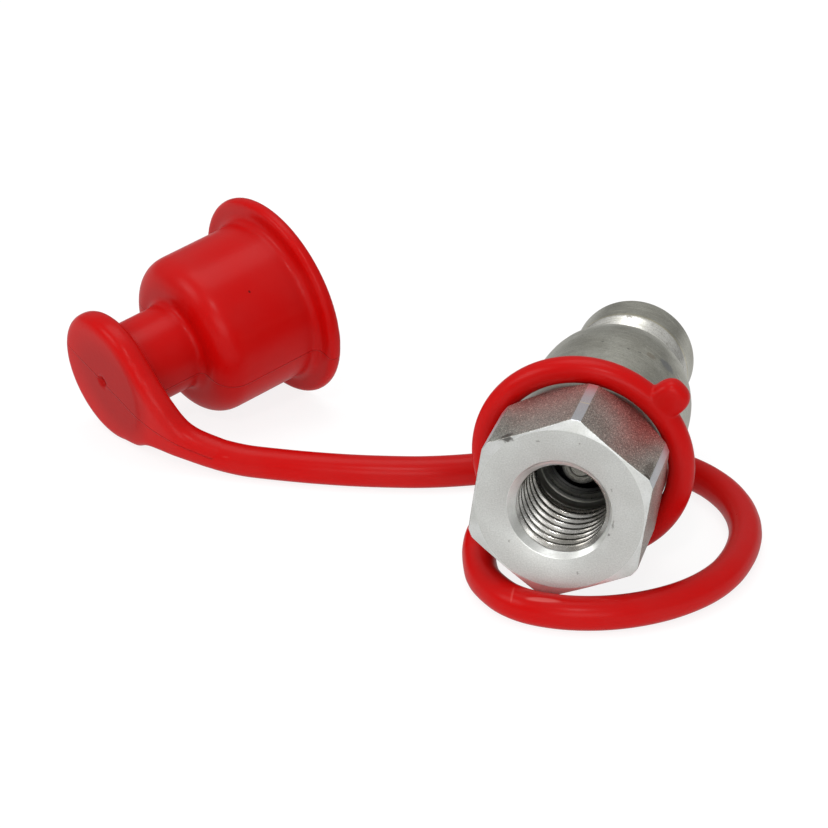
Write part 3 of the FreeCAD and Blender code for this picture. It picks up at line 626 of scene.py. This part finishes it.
@dataclass
class Plug:
    """The plug's body, turned and milled from bar, with its bore and its thread.

    Every size is in millimetres, and stations run from the port's face to the nose's tip.
    """

    flats: float = 27.0
    hex_length: float = 16.85
    bar_radius: float = 15.15
    face_radius: float = 13.2
    face_slope: float = math.tan(math.radians(12.0))
    back_slope: float = 1.0
    hex_turn: float = 7.8
    neck_radius: float = 13.45
    length: float = 65.8
    sink_radius: float = 8.3
    thread_minor: float = 6.92
    thread_major: float = 8.0
    pitch: float = 2.0
    thread_end: float = 16.0
    relief_radius: float = 8.3
    relief_end: float = 19.0
    chamber: float = 6.9
    port_station: float = 8.69
    groove_radius: float = 8.8
    nose_radius: float = 10.25
    opening_radius: float = 4.9
    wire_groove_radius: float = 7.7
    wire_groove: tuple[float, float] = (20.1, 21.3)
    strip_ease: float = 0.09
    flat_reach: float = math.radians(26.98)
    thread_rows: int = 150
    axes: Axes = field(init=False)

    def __post_init__(self) -> None:
        """Take the plug's place from the record's port: its axis points out of the mouth."""
        port = record_mount("port")
        z = -unit(port["axis"])
        x = np.array([1.0, 0.0, 0.0])
        origin = np.asarray(port["pos_m"]) - z * self.port_station * MM
        self.axes = Axes(origin, x, np.cross(z, x), z)

    def angles(self) -> Array:
        """Angles round the axis, close together where a flat meets a strip of bar."""
        half = np.concatenate([
            np.linspace(0.0, 25.4, 17),
            [26.1, 26.55, 26.8, 27.0, 27.2, 27.45, 28.0, 29.0, 30.0],
        ])
        sector = np.concatenate([-half[:0:-1], half[:-1]])
        turn = self.hex_turn - 90.0 + 30.0
        return np.radians(np.concatenate([sector + 60.0 * k for k in range(6)]) + turn)

    def from_flat(self, angles: Array) -> Array:
        """The angle from the middle of the nearest flat."""
        turn = math.radians(self.hex_turn - 60.0)
        return (angles - turn + math.pi / 6) % (math.pi / 3) - math.pi / 6

    def hex_radius(self, angles: Array) -> Array:
        """How far the hexagon reaches at each angle: half the flats over cos of the angle from
        the flat's middle, eased into the bar's radius at the strips."""
        flat = self.flats / 2 / np.cos(self.from_flat(angles))
        gap = np.abs(flat - self.bar_radius)
        blend = np.maximum(self.strip_ease - gap, 0.0) / self.strip_ease
        return np.minimum(flat, self.bar_radius) - blend**2 * self.strip_ease / 4

    def chamfers(self, reach: Array) -> tuple[Array, Array]:
        """The stations where the front chamfer ends and the back one starts, for each reach."""
        front = (reach - self.face_radius) * self.face_slope
        back = self.hex_length - (reach - self.neck_radius) * self.back_slope
        return front, back

    def thread_radius(self, station: Array, angles: Array) -> Array:
        """The bore's radius at a station and an angle, as the deepest of its cuts.

        The thread is a trapezium of a sixty degree thread, carried along a helix: the turn's own
        place is the fraction of (station / pitch - angle / full turn).
        """
        place = (station / self.pitch - angles / (2 * math.pi)) % 1.0
        away = np.abs(place - 0.5) * self.pitch
        slope = (self.pitch / 2 * 0.75 - away) / math.tan(math.radians(30.0))
        depth = np.clip(slope, 0.0, (self.thread_major - self.thread_minor) * 0.98)
        fade = np.clip((self.thread_end - 0.2 - station) / 1.2, 0.0, 1.0)
        sink = self.sink_radius - station
        return np.maximum(self.thread_minor + depth * fade, sink)

    def build(self) -> bpy.types.Object:
        """The whole skin: outside from face to tip, then back through the bore to the face."""
        angles = self.angles()
        count = len(angles)
        reach = self.hex_radius(angles)
        front, back = self.chamfers(reach)
        groove_start, groove_end = self.wire_groove
        corners = [
            (0.0, self.sink_radius, 0.10),
            (0.0, self.face_radius, 0.12),
            (front, reach, 0.10),
            (back, reach, 0.10),
            (self.hex_length, self.neck_radius, 0.15),
            (41.2, self.neck_radius, 1.2),
            (46.6, 13.05, 2.6),
            (49.7, 11.85, 0.55),
            (50.8, self.groove_radius, 0.7),
            (55.4, self.groove_radius, 0.9),
            (58.4, self.nose_radius, 0.35),
            (self.length, self.nose_radius, 0.6),
            (self.length, self.opening_radius + 0.5, 0.1),
            (self.length - 0.5, self.opening_radius, 0.15),
            (58.9, self.opening_radius, 0.1),
            (56.9, self.chamber, 0.1),
            (groove_end, self.chamber, 0.0),
            (groove_end, self.wire_groove_radius, 0.0),
            (groove_start, self.wire_groove_radius, 0.0),
            (groove_start, self.chamber, 0.0),
            (self.relief_end, self.chamber, 0.1),
            (self.relief_end, self.relief_radius, 0.1),
            (self.thread_end + 0.69, self.relief_radius, 0.1),
        ]
        profile = rounded_profile(corners, count)
        stations = np.linspace(self.thread_end + 0.1, 0.12, self.thread_rows)
        thread = np.stack(
            [np.broadcast_to(stations[:, None], (self.thread_rows, count)),
             self.thread_radius(stations[:, None], angles[None, :])], axis=-1)
        grid = spun_grid(np.concatenate([profile, thread]), angles, self.axes)
        rows = len(grid)
        piece = mesh_piece("plug_shell", grid.reshape(-1, 3), grid_faces(rows, count, True))
        piece.data.polygons.foreach_set("use_smooth", np.ones(rows * count, dtype=bool))
        self.zone(piece, np.concatenate([profile, thread]), angles)
        piece.data.update()
        return piece

    def zone(self, piece: bpy.types.Object, profile: Array, angles: Array) -> None:
        """Give each face its finish by where it lies."""
        station, radius = profile[..., 0], profile[..., 1]
        station = (station + np.roll(station, -1, axis=0)) / 2
        radius = (radius + np.roll(radius, -1, axis=0)) / 2
        bore_rows = np.arange(len(profile)) > self.outer_rows(profile)
        bore_rows = np.broadcast_to(bore_rows[:, None], station.shape)
        middle = (angles + np.roll(angles, -1)) / 2
        front, back = self.chamfers(self.hex_radius(middle))
        along = (station > front) & (station < back)
        on_flat = (np.abs(self.from_flat(middle)) < self.flat_reach) & along
        zones = np.full(station.shape, Zone.TURNED.value)
        zones[on_flat & ~bore_rows] = Zone.FLAT.value
        zones[along & ~on_flat & ~bore_rows] = Zone.STRIP.value
        zones[bore_rows] = Zone.BORE.value
        zones[bore_rows & (station < self.relief_end)] = Zone.THREAD.value
        zones[(station <= front) & ~bore_rows] = Zone.CONE.value
        zones[(station < 0.012) & ~bore_rows & (radius < self.face_radius)] = Zone.FACE.value
        zones[bore_rows & (station < self.sink_radius - self.thread_minor - 0.1)] = Zone.CONE.value
        piece.data.polygons.foreach_set("material_index", zones.reshape(-1).astype(np.int32))

    def outer_rows(self, profile: Array) -> int:
        """The last row of the outside, where the tip turns into the nose's opening."""
        inside = np.nonzero((profile[:, 0, 0] > 60.0) & (profile[:, 0, 1] < 5.6))[0]
        return int(inside[0])

    def dress(self, piece: bpy.types.Object) -> None:
        """Give the body its finishes, in the order of the zones, with painted shade in the bore and the
        thread's relief and painted highlights on the chamfers and the groove.
        """
        black = (0.09, 0.08, 0.07)
        pit = (0.22, 0.21, 0.19)
        face_marks = (
            Mark((-8.8, -11.0, 0.2), (1.7, 0.75, 0.8), black, 0.85),
            Mark((-3.68, -11.21, 0.0), (0.28, 0.20, 0.5), pit, 0.7),
            Mark((2.82, -11.41, 0.0), (0.22, 0.22, 0.5), pit, 0.6),
            Mark((-7.72, 6.23, 0.0), (0.26, 0.24, 0.5), pit, 0.5),
            Mark((3.18, 10.26, 0.0), (0.22, 0.28, 0.5), pit, 0.55),
            Mark((8.05, -4.31, 0.0), (0.22, 0.30, 0.5), pit, 0.6),
            Mark((7.75, 3.15, 0.0), (0.32, 0.50, 0.5), black, 0.65),
            Mark((8.42, 1.4, 0.0), (0.20, 1.00, 0.5), black, 0.55),
        )
        flat_marks = (
            Mark((-8.8, -11.2, 0.9), (1.5, 0.9, 1.1), black, 0.75),
            Mark((-11.2, -9.0, 1.2), (0.8, 1.2, 0.6), black, 0.5),
            Mark((13.3, -6.7, 0.75), (0.8, 0.9, 0.75), black, 0.75),
            Mark((13.1, -6.9, 3.4), (0.8, 1.1, 3.4), (0.20, 0.175, 0.15), 0.55),
        )
        strip_marks = (
            Mark((2.2, -14.95, 7.5), (1.3, 0.5, 0.22), (0.95, 0.90, 0.66), 0.8),
            Mark((13.3, -6.9, 0.8), (0.7, 0.7, 0.6), black, 0.7),
        )
        neck_marks = (
            Mark((-0.82, -13.43, 37.4), (0.34, 0.4, 0.28), pit, 0.7),
            Mark((3.73, -12.92, 36.6), (0.30, 0.4, 0.26), pit, 0.7),
            Mark((5.5, -12.27, 37.04), (0.36, 0.4, 0.28), pit, 0.65),
            Mark((9.63, -9.39, 39.6), (1.9, 1.9, 1.5), (0.26, 0.28, 0.33), 0.5),
            Mark((7.17, -11.38, 38.3), (1.3, 1.0, 1.0), (0.36, 0.29, 0.20), 0.5),
            Mark((0.01, -10.25, 58.04), (0.8, 0.5, 0.4), pit, 0.8),
        )
        finishes_with_painted_light = {
            Zone.TURNED: Steel(
                "turned_zinc_and_groove_highlight", (0.70, 0.695, 0.605), (0.53, 0.52, 0.44), roughness=0.34,
                ring_pitch=0.30, ring_depth=7e-6, pits=0.012, anisotropic=0.3, speckle=0.25,
                streaks=0.65, marks=neck_marks, bands=(
                    # Painted reflection: the groove's band is painted near white for the lamps'
                    # reflections in it.
                    Band(50.6, 58.6, (0.92, 0.91, 0.87), 0.75),
                    Band(58.5, 59.1, (0.82, 0.75, 0.50), 0.6),
                    Band(49.6, 50.3, (0.62, 0.58, 0.44), 0.4),
                )),
            Zone.FLAT: Steel(
                "drawn_flat", (0.55, 0.55, 0.50), (0.42, 0.41, 0.365), roughness=0.44,
                grain_depth=1.6e-5, pits=0.012, speckle=0.75, marks=flat_marks),
            Zone.FACE: Steel(
                "faced_end", (0.575, 0.58, 0.555), (0.63, 0.64, 0.615), roughness=0.50,
                ring_pitch=0.5, ring_depth=4e-6, grain_depth=5e-6, pits=0.0, speckle=0.14,
                marks=face_marks, metallic=0.6),
            # Painted shade: the bore is painted near black for the shade deep inside it, with a lighter
            # grey ring at the step, which faces the mouth and catches the light.
            Zone.BORE: Steel(
                "bore_painted_shade", (0.06, 0.06, 0.057), (0.04, 0.04, 0.038), roughness=0.36,
                ring_pitch=0.3, ring_depth=4e-6, grain_depth=2e-6, pits=0.0,
                bands=(Band(18.7, 19.3, (0.42, 0.42, 0.38), 1.0),)),
            # Painted shade: the band past the thread's end darkens the relief groove, where shade
            # falls.
            Zone.THREAD: Steel(
                "cut_thread_and_relief_shade", (0.70, 0.69, 0.66), (0.36, 0.345, 0.31), roughness=0.24,
                ring_pitch=0.35, ring_depth=1e-6, grain_depth=1e-6, pits=0.0, speckle=0.05,
                streaks=0.15, bands=(Band(16.3, 18.9, (0.13, 0.13, 0.12), 0.95),)),
            # Painted highlight: the front chamfer and the countersink are painted near white, brighter
            # than the turned steel.
            Zone.CONE: Steel(
                "chamfer_painted_highlight", (0.93, 0.94, 0.92), (0.72, 0.73, 0.69), roughness=0.36,
                ring_pitch=0.4, ring_depth=4e-6, grain_depth=5e-6, pits=0.0, speckle=0.12,
                streaks=0.15, marks=face_marks[:1], metallic=0.85),
            Zone.STRIP: Steel(
                "bar_strip", (0.80, 0.83, 0.86), (0.70, 0.73, 0.76), roughness=0.36,
                grain_depth=6e-6, pits=0.01, speckle=0.15, marks=strip_marks),
        }
        for zone in Zone:
            piece.data.materials.append(finishes_with_painted_light[zone].make(self.axes))


@dataclass
class DustCap:
    """The moulded dust cap, from its end disc to its mouth, in millimetres."""

    middle: tuple[float, float, float] = (-48.8754, 1.4617, 11.507)
    azimuth: float = 51.6
    rise: float = 10.649
    roll: float = 21.2
    columns: int = 144
    cell: float = 0.30
    axes: Axes = field(init=False)

    def __post_init__(self) -> None:
        """Work out the cap's own directions: z towards its mouth, x towards its strap."""
        turn, rise, roll = (math.radians(a) for a in (self.azimuth, self.rise, self.roll))
        z = np.array([math.cos(rise) * math.cos(turn), math.cos(rise) * math.sin(turn),
                      math.sin(rise)])
        level = np.array([math.sin(turn), -math.cos(turn), 0.0])
        down = np.cross(level, z)
        down = -down if down[2] > 0 else down
        x = level * math.cos(roll) + down * math.sin(roll)
        self.axes = Axes(np.asarray(self.middle) * MM, x, np.cross(z, x), z)

    def outside(self) -> Array:
        """The turned form with its cavity, as one closed skin of (station, radius) rows."""
        corners = [
            (0.8, 0.0, 0.0),
            (0.8, 0.6, 0.15),
            (0.0, 1.05, 0.2),
            (0.0, 12.05, 2.0),
            (4.6, 12.05, 2.0),
            (4.6, 7.75, 1.3),
            (15.8, 7.75, 1.2),
            (15.8, 14.6, 4.7),
            (35.65, 14.6, 1.5),
            (35.65, 18.6, 1.1),
            (38.05, 18.6, 1.1),
            (38.05, 13.4, 0.5),
            (33.45, 12.0, 0.4),
            (31.45, 9.9, 0.3),
            (29.6, 9.9, 0.3),
            (29.3, 10.4, 0.3),
            (17.45, 10.4, 1.0),
            (17.45, 0.0, 0.0),
        ]
        angles = np.linspace(0, 2 * math.pi, self.columns, endpoint=False)
        profile = rounded_profile(corners, self.columns, steps=8)
        return spun_grid(profile, angles, self.axes)

    def root(self) -> Array:
        """The strap's root: it starts wide and flat in the disc and ends round.

        Each row is its two edges' y at an x, the middle's station and half the thickness.
        """
        rows = spline_points(np.array([
            (2.0, -11.4, 11.5, 2.30, 2.28),
            (5.5, -10.6, 10.8, 2.32, 2.28),
            (8.5, -9.1, 9.4, 2.36, 2.28),
            (10.8, -7.6, 7.8, 2.42, 2.28),
            (12.8, -5.8, 6.4, 2.70, 2.30),
            (14.9, -4.0, 5.5, 3.25, 2.36),
            (17.0, -2.6, 4.9, 3.95, 2.45),
            (19.0, -1.9, 4.4, 4.80, 2.55),
            (20.8, -1.65, 4.2, 5.70, 2.65),
            (23.72, -1.57, 3.93, 7.28, 2.75),
            (25.6, -1.55, 3.65, 8.42, 2.60),
        ]), 10)
        middle = np.stack([rows[:, 0], (rows[:, 1] + rows[:, 2]) / 2, rows[:, 3]], axis=-1)
        half = (rows[:, 2] - rows[:, 1]) / 2
        local = tube_grid(middle, half, rows[:, 4], np.array([0.0, 1.0, 0.0]), 72)
        return self.axes.place(local)

    def build(self) -> bpy.types.Object:
        """One skin over the cap and its strap's root."""
        return fused("cap_moulding", [self.outside(), self.root()], self.cell * MM, 9)

    def dress(self, piece: bpy.types.Object) -> None:
        """Give the cap its red, with a pit in the cup, painted shade in the gate's dimple and a darker
        end disc.
        """
        spots = (
            Mark((6.65, -13.0, 25.86), (0.32, 0.32, 0.24), (0.07, 0.004, 0.004), 0.9),
            # Painted shade: the gate's dimple is painted darker red, for the shade in the hollow.
            Mark((0.0, 0.0, 0.5), (0.95, 0.95, 0.9), (0.25, 0.001, 0.001), 0.7),
            Mark((3.0, -1.0, -0.6), (17.0, 12.6, 1.5), (0.33, 0.0012, 0.0010), 1.0),
        )
        piece.data.materials.append(SoftRed("cap_red_skin", marks=spots).make(self.axes))


@dataclass
class StrapRing:
    """The strap's ring round the neck, with its pull tab and the strap's root, in millimetres."""

    middle: tuple[float, float, float] = (39.6046, -21.8683, 17.9917)
    lean: float = 2.75
    radius: float = 15.87
    section: float = 2.14
    tab_angle: float = -42.5
    root_angle: float = -221.0
    root_bend: tuple[float, float, float] = (24.615, -23.358, 5.2)
    tab_half_sizes: tuple[float, float, float] = (3.6, 2.9, 1.95)
    cell: float = 0.22
    axes: Axes = field(init=False)

    def __post_init__(self) -> None:
        """Work out the ring's own directions: z along its axis, x level."""
        lean = math.radians(self.lean)
        x = np.array([1.0, 0.0, 0.0])
        z = np.array([0.0, math.cos(lean), math.sin(lean)])
        self.axes = Axes(np.asarray(self.middle) * MM, x, np.cross(z, x), z)

    def band(self) -> Array:
        """The ring: a circle of the section's radius carried round the ring's axis."""
        turn = np.linspace(0, 2 * math.pi, 160, endpoint=False)[None, :]
        round_ = np.linspace(0, 2 * math.pi, 41)[:, None]
        radius = self.radius + self.section * np.cos(round_)
        local = np.stack([
            radius * np.cos(turn), radius * np.sin(turn), self.section * np.sin(round_) + 0 * turn,
        ], axis=-1)
        return self.axes.place(local)

    def tab(self) -> Array:
        """The pull tab: a box with round sides, from a signed power of sines and cosines."""
        turn = math.radians(self.tab_angle)
        out = np.array([math.cos(turn), math.sin(turn), 0.0])
        side = np.array([-math.sin(turn), math.cos(turn), 0.0])
        high = np.linspace(-math.pi / 2, math.pi / 2, 41)[:, None]
        way = np.linspace(0, 2 * math.pi, 72, endpoint=False)[None, :]

        def power(value: Array, share: float) -> Array:
            """The value's size to a power, with its sign kept."""
            return np.sign(value) * np.abs(value) ** share

        half_length, half_width, half_depth = self.tab_half_sizes
        length = half_length * power(np.cos(high), 0.55) * power(np.cos(way), 0.75)
        width = half_width * power(np.cos(high), 0.55) * power(np.sin(way), 0.75)
        depth = half_depth * power(np.sin(high), 0.75) + 0 * way
        local = out * (self.radius + self.section) + length[..., None] * out
        local = local + width[..., None] * side + depth[..., None] * np.array([0.0, 0.0, 1.0])
        return self.axes.place(local)

    def root(self, exit_point: Array, heading: Array) -> Array:
        """The strap's root, from inside the ring to where the strap begins, in metres."""
        turn = math.radians(self.root_angle)
        start = self.axes.place(self.radius * np.array([math.cos(turn), math.sin(turn), 0.0]))
        bend = np.asarray(self.root_bend) * MM
        past = exit_point + heading * 0.0018
        corners = np.stack([start, bend, exit_point - heading * 0.0029, past])
        line = spline_points(corners, 12)
        left = np.linalg.norm(line - past, axis=-1)
        half = np.interp(left, [0.0, 0.0020, 0.0040], [0.0026, 0.00276, 0.00274])
        return tube_grid(line, half, half, np.array([0.2, 0.3, 0.9]), 48)

    def build(self, exit_point: Array, heading: Array) -> bpy.types.Object:
        """One skin over the ring, its tab and the strap's root."""
        grids = [self.band(), self.tab(), self.root(exit_point, heading)]
        return fused("ring_moulding", grids, self.cell * MM, 4)


@dataclass
class Strap:
    """The strap, laid on the ground from the ring's root to the cap's, in metres."""

    diameter: float = 0.0054
    route: list[tuple[float, float, float]] = field(default_factory=lambda: [
        (0.024665, -0.029858, 0.003300),
        (0.025665, -0.033858, 0.002720),
        (0.027915, -0.038558, 0.002700),
        (0.033415, -0.043958, 0.002700),
        (0.041515, -0.045158, 0.002700),
        (0.050015, -0.042858, 0.002700),
        (0.057815, -0.037158, 0.002700),
        (0.063215, -0.028958, 0.002700),
        (0.065215, -0.019358, 0.002700),
        (0.064815, -0.009858, 0.002700),
        (0.061315, -0.000458, 0.002700),
        (0.055115, 0.006942, 0.002700),
        (0.047015, 0.011042, 0.002700),
        (0.037415, 0.010742, 0.002700),
        (0.025815, 0.005442, 0.002700),
        (0.011915, -0.001658, 0.002700),
        (-0.000285, -0.004158, 0.002700),
        (-0.009485, -0.005058, 0.002700),
        (-0.016585, -0.005258, 0.002720),
        (-0.022577, -0.005269, 0.002768),
        (-0.026324, -0.005001, 0.003341),
    ])

    def start(self) -> tuple[Array, Array]:
        """Where the strap leaves the ring's root, and which way it goes."""
        first, second = (np.asarray(point) for point in self.route[:2])
        return first, unit(second - first)

    def build(self) -> bpy.types.Object:
        """The strap as a smooth curve with a round section."""
        curve = bpy.data.curves.new("strap_line", "CURVE")
        curve.dimensions = "3D"
        spline = curve.splines.new("NURBS")
        spline.points.add(len(self.route) - 1)
        points = np.array([(*point, 1.0) for point in self.route])
        spline.points.foreach_set("co", points.ravel())
        spline.order_u = 3
        spline.use_endpoint_u = True
        spline.resolution_u = 16
        curve.bevel_depth = self.diameter / 2
        curve.bevel_resolution = 10
        curve.use_fill_caps = True
        piece = bpy.data.objects.new("strap", curve)
        bpy.context.scene.collection.objects.link(piece)
        return piece

    def dress(self, piece: bpy.types.Object) -> None:
        """Give the strap its red, with pale scuffs and nicks, and painted highlights along its top."""
        pale = (0.62, 0.10, 0.09)
        scuffs_and_highlights = (
            Mark((33.32, -45.6, 5.0), (0.24, 2.9, 1.3), (0.60, 0.07, 0.06), 0.5),
            # Partly a scuff, partly painted highlight: a pale streak along the strap's top.
            Mark((38.0, -45.9, 5.2), (3.8, 0.50, 0.6), (0.62, 0.11, 0.10), 0.6),
            Mark((48.73, -46.85, 5.0), (0.26, 0.22, 0.3), (0.75, 0.36, 0.32), 0.9),
            # Painted highlights: pale soft streaks on the strap near the cap.
            Mark((-14.37, -7.6, 5.2), (0.9, 0.30, 0.4), pale, 0.5),
            Mark((-24.2, -7.3, 4.0), (1.4, 0.35, 0.5), pale, 0.45),
        )
        piece.data.materials.append(SoftRed("strap_red", marks=scuffs_and_highlights).make())


@dataclass
class Studio:
    """A white studio: floor, soft lamps, surroundings and the camera.

    The camera stands where it does for a picture of the given number of pixels a side.
    """

    pixels: int = 828
    focal_pixels: float = 3200.0
    camera_place: tuple[float, float, float] = (0.122545, -0.471808, 0.239800)
    right: tuple[float, float, float] = (0.97114, 0.23850, 0.0)
    down: tuple[float, float, float] = (0.10116, -0.41191, -0.90559)

    def camera(self) -> None:
        """Set the camera: its sides from the picture's right and down directions."""
        data = bpy.data.cameras.new("camera")
        data.sensor_width = 36.0
        data.lens = self.focal_pixels * 36.0 / self.pixels
        data.clip_start = 0.01
        data.clip_end = 20.0
        camera = bpy.data.objects.new("camera", data)
        right = Vector(self.right).normalized()
        up = -Vector(self.down).normalized()
        back = right.cross(up)
        turn = Matrix((right, up, back)).transposed().to_4x4()
        camera.matrix_world = Matrix.Translation(self.camera_place) @ turn
        bpy.context.scene.collection.objects.link(camera)
        bpy.context.scene.camera = camera

    def floor(self) -> None:
        """A wide pale floor, white to the camera, that keeps the object's soft shadow."""
        mesh = bpy.data.meshes.new("floor")
        side = 3.0
        mesh.from_pydata([(-side, -side, 0), (side, -side, 0), (side, side, 0), (-side, side, 0)],
                         [], [(0, 1, 2, 3)])
        floor = bpy.data.objects.new("floor", mesh)
        bpy.context.scene.collection.objects.link(floor)
        board = NodeBoard("floor_paper")
        board.dress(Base_Color=(0.92, 0.92, 0.92), Roughness=0.9, Specular_IOR_Level=0.2,
                    Emission_Color=(1.0, 1.0, 1.0), Emission_Strength=0.25)
        glow = board.tree.nodes.new("ShaderNodeEmission")
        glow.inputs["Color"].default_value = (1.0, 1.0, 1.0, 1.0)
        path = board.tree.nodes.new("ShaderNodeLightPath")
        blend = board.tree.nodes.new("ShaderNodeMixShader")
        glossy = path.outputs["Is Glossy Ray"]
        share = board.sum("MAXIMUM", board.sum("MULTIPLY", path.outputs["Is Camera Ray"], 0.80),
                          board.sum("MULTIPLY", glossy, 0.90))
        board.link(board.mix(glossy, (1.0, 1.0, 1.0), (0.47, 0.47, 0.47)), glow.inputs["Color"])
        board.link(share, blend.inputs["Fac"])
        board.link(board.shader.outputs["BSDF"], blend.inputs[1])
        board.link(glow.outputs["Emission"], blend.inputs[2])
        board.link(blend.outputs["Shader"], board.output.inputs["Surface"])
        mesh.materials.append(board.material)

    def lamp(self, name: str, place: Sequence[float], aim: Sequence[float], width: float,
             height: float, power: float) -> None:
        """A soft rectangular lamp aimed at a point."""
        data = bpy.data.lights.new(name, "AREA")
        data.shape = "RECTANGLE"
        data.size = width
        data.size_y = height
        data.energy = power
        lamp = bpy.data.objects.new(name, data)
        way = (Vector(aim) - Vector(place)).normalized()
        lamp.rotation_euler = way.to_track_quat("-Z", "Y").to_euler()
        lamp.location = place
        bpy.context.scene.collection.objects.link(lamp)

    def surroundings(self) -> None:
        """White to the camera; elsewhere a pale room, brighter above than at the sides."""
        world = bpy.data.worlds.new("room")
        world.use_nodes = True
        tree = world.node_tree
        tree.nodes.clear()
        output = tree.nodes.new("ShaderNodeOutputWorld")
        background = tree.nodes.new("ShaderNodeBackground")
        coords = tree.nodes.new("ShaderNodeTexCoord")
        split = tree.nodes.new("ShaderNodeSeparateXYZ")
        path = tree.nodes.new("ShaderNodeLightPath")
        tree.links.new(coords.outputs["Generated"], split.inputs["Vector"])

        def sky(below: float, place: float, level: float, above: float) -> bpy.types.NodeSocket:
            """A grey that goes by height, from below, through the one at a place, to above."""
            ramp = tree.nodes.new("ShaderNodeValToRGB")
            ramp.color_ramp.elements[0].color = (below, below, below, 1.0)
            ramp.color_ramp.elements[1].color = (above, above, above, 1.0)
            ramp.color_ramp.elements.new(place).color = (level, level, level, 1.0)
            tree.links.new(split.outputs["Z"], ramp.inputs["Fac"])
            return ramp.outputs["Color"]

        def choice(ray: str, other: bpy.types.NodeSocket) -> bpy.types.Node:
            """A mix that takes its second colour for one kind of ray."""
            mix = tree.nodes.new("ShaderNodeMix")
            mix.data_type = "RGBA"
            tree.links.new(path.outputs[ray], mix.inputs["Factor"])
            tree.links.new(other, mix.inputs["A"])
            return mix

        seen = choice("Is Glossy Ray", sky(0.42, 0.45, 0.52, 0.85))
        tree.links.new(sky(0.12, 0.42, 0.41, 0.55), seen.inputs["B"])
        white = choice("Is Camera Ray", seen.outputs["Result"])
        white.inputs["B"].default_value = (1.0, 1.0, 1.0, 1.0)
        tree.links.new(white.outputs["Result"], background.inputs["Color"])
        tree.links.new(background.outputs["Background"], output.inputs["Surface"])
        bpy.context.scene.world = world

    def build(self) -> None:
        """Put up the whole studio."""
        self.camera()
        self.floor()
        self.surroundings()
        self.lamp("top", (-0.1, 0.1, 0.9), (0.0, 0.0, 0.0), 0.7, 0.5, 2.4)
        self.lamp("left", (-0.8, -0.5, 0.6), (0.0, 0.0, 0.02), 0.5, 0.4, 2.4)
        self.lamp("spark", (0.12, -0.72, 0.82), (0.0, 0.0, 0.02), 0.10, 0.10, 1.5)
        self.lamp("front", (0.25, -1.1, 0.35), (0.0, 0.0, 0.02), 0.7, 0.4, 3.0)


def dress_node(name: str, finish: bpy.types.Material) -> None:
    """Give a CAD node its finish."""
    slots = bpy.data.objects[name].material_slots
    if not slots:
        bpy.data.objects[name].data.materials.append(finish)
    for slot in slots:
        slot.material = finish


def dress_valve(axes: Axes) -> None:
    """Give the valve's five pieces in the bore their finishes; the guide's is painted shade."""
    dark = (0.07, 0.07, 0.07)
    pale = (0.50, 0.49, 0.45)
    hub = Mark((0.0, 0.0, 20.0), (3.4, 3.4, 30.0), pale, 1.0)
    faced = {"ring_pitch": 0.9, "ring_depth": 8e-6, "grain_depth": 0.0, "pits": 0.0}
    drawn = {"grain_depth": 1e-6, "pits": 0.0}
    finishes_with_painted_light = {
        "poppet": Steel("valve_steel", pale, (0.44, 0.42, 0.39), 0.28, **faced),
        # Painted shade: the guide is painted near black for the shade in the bore, save its pale hub.
        "valve_guide": Steel("guide_painted_shade", dark, dark, 0.28, marks=(hub,), **faced),
        "poppet_spring": Steel("spring_steel", dark, dark, 0.34, **drawn),
        "retaining_ring": Steel("wire_steel", (0.42, 0.42, 0.39), (0.30, 0.30, 0.28), 0.30, **drawn),
    }
    for name, finish in finishes_with_painted_light.items():
        dress_node(name, finish.make(axes))
    seal = NodeBoard("seal_rubber")
    skin = seal.noise(seal.places(), 2.0)
    dress_node("poppet_seal", seal.dress(Base_Color=(0.02, 0.02, 0.02), Roughness=0.5,
                                         Normal=seal.bump(skin, 4e-6)))


def main() -> None:
    """Build the pieces in order, dress them and put up the studio."""
    logging.basicConfig(level=logging.INFO, format="%(message)s")
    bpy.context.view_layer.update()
    bpy.context.scene.view_settings.view_transform = "Standard"

    plug = Plug()
    shell = plug.build()
    plug.dress(shell)
    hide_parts("plug_body")
    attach(shell, "plug")
    LOG.info("plug_shell: %d faces", len(shell.data.polygons))

    strap = Strap()
    exit_point, heading = strap.start()
    cord = strap.build()
    strap.dress(cord)
    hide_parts("cap_strap")
    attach(cord, "plug")
    LOG.info("strap: %d route points", len(strap.route))

    ring = StrapRing()
    band = ring.build(exit_point, heading)
    band.data.materials.append(SoftRed("ring_red", seam=0.0).make(ring.axes))
    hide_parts("strap_ring")
    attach(band, "plug")
    LOG.info("ring_moulding: %d faces", len(band.data.polygons))

    cap = DustCap()
    moulding = cap.build()
    cap.dress(moulding)
    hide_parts("dust_cap")
    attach(moulding, "plug")
    LOG.info("cap_moulding: %d faces", len(moulding.data.polygons))

    dress_valve(plug.axes)
    Studio().build()


if __name__ == "__main__":
    main()
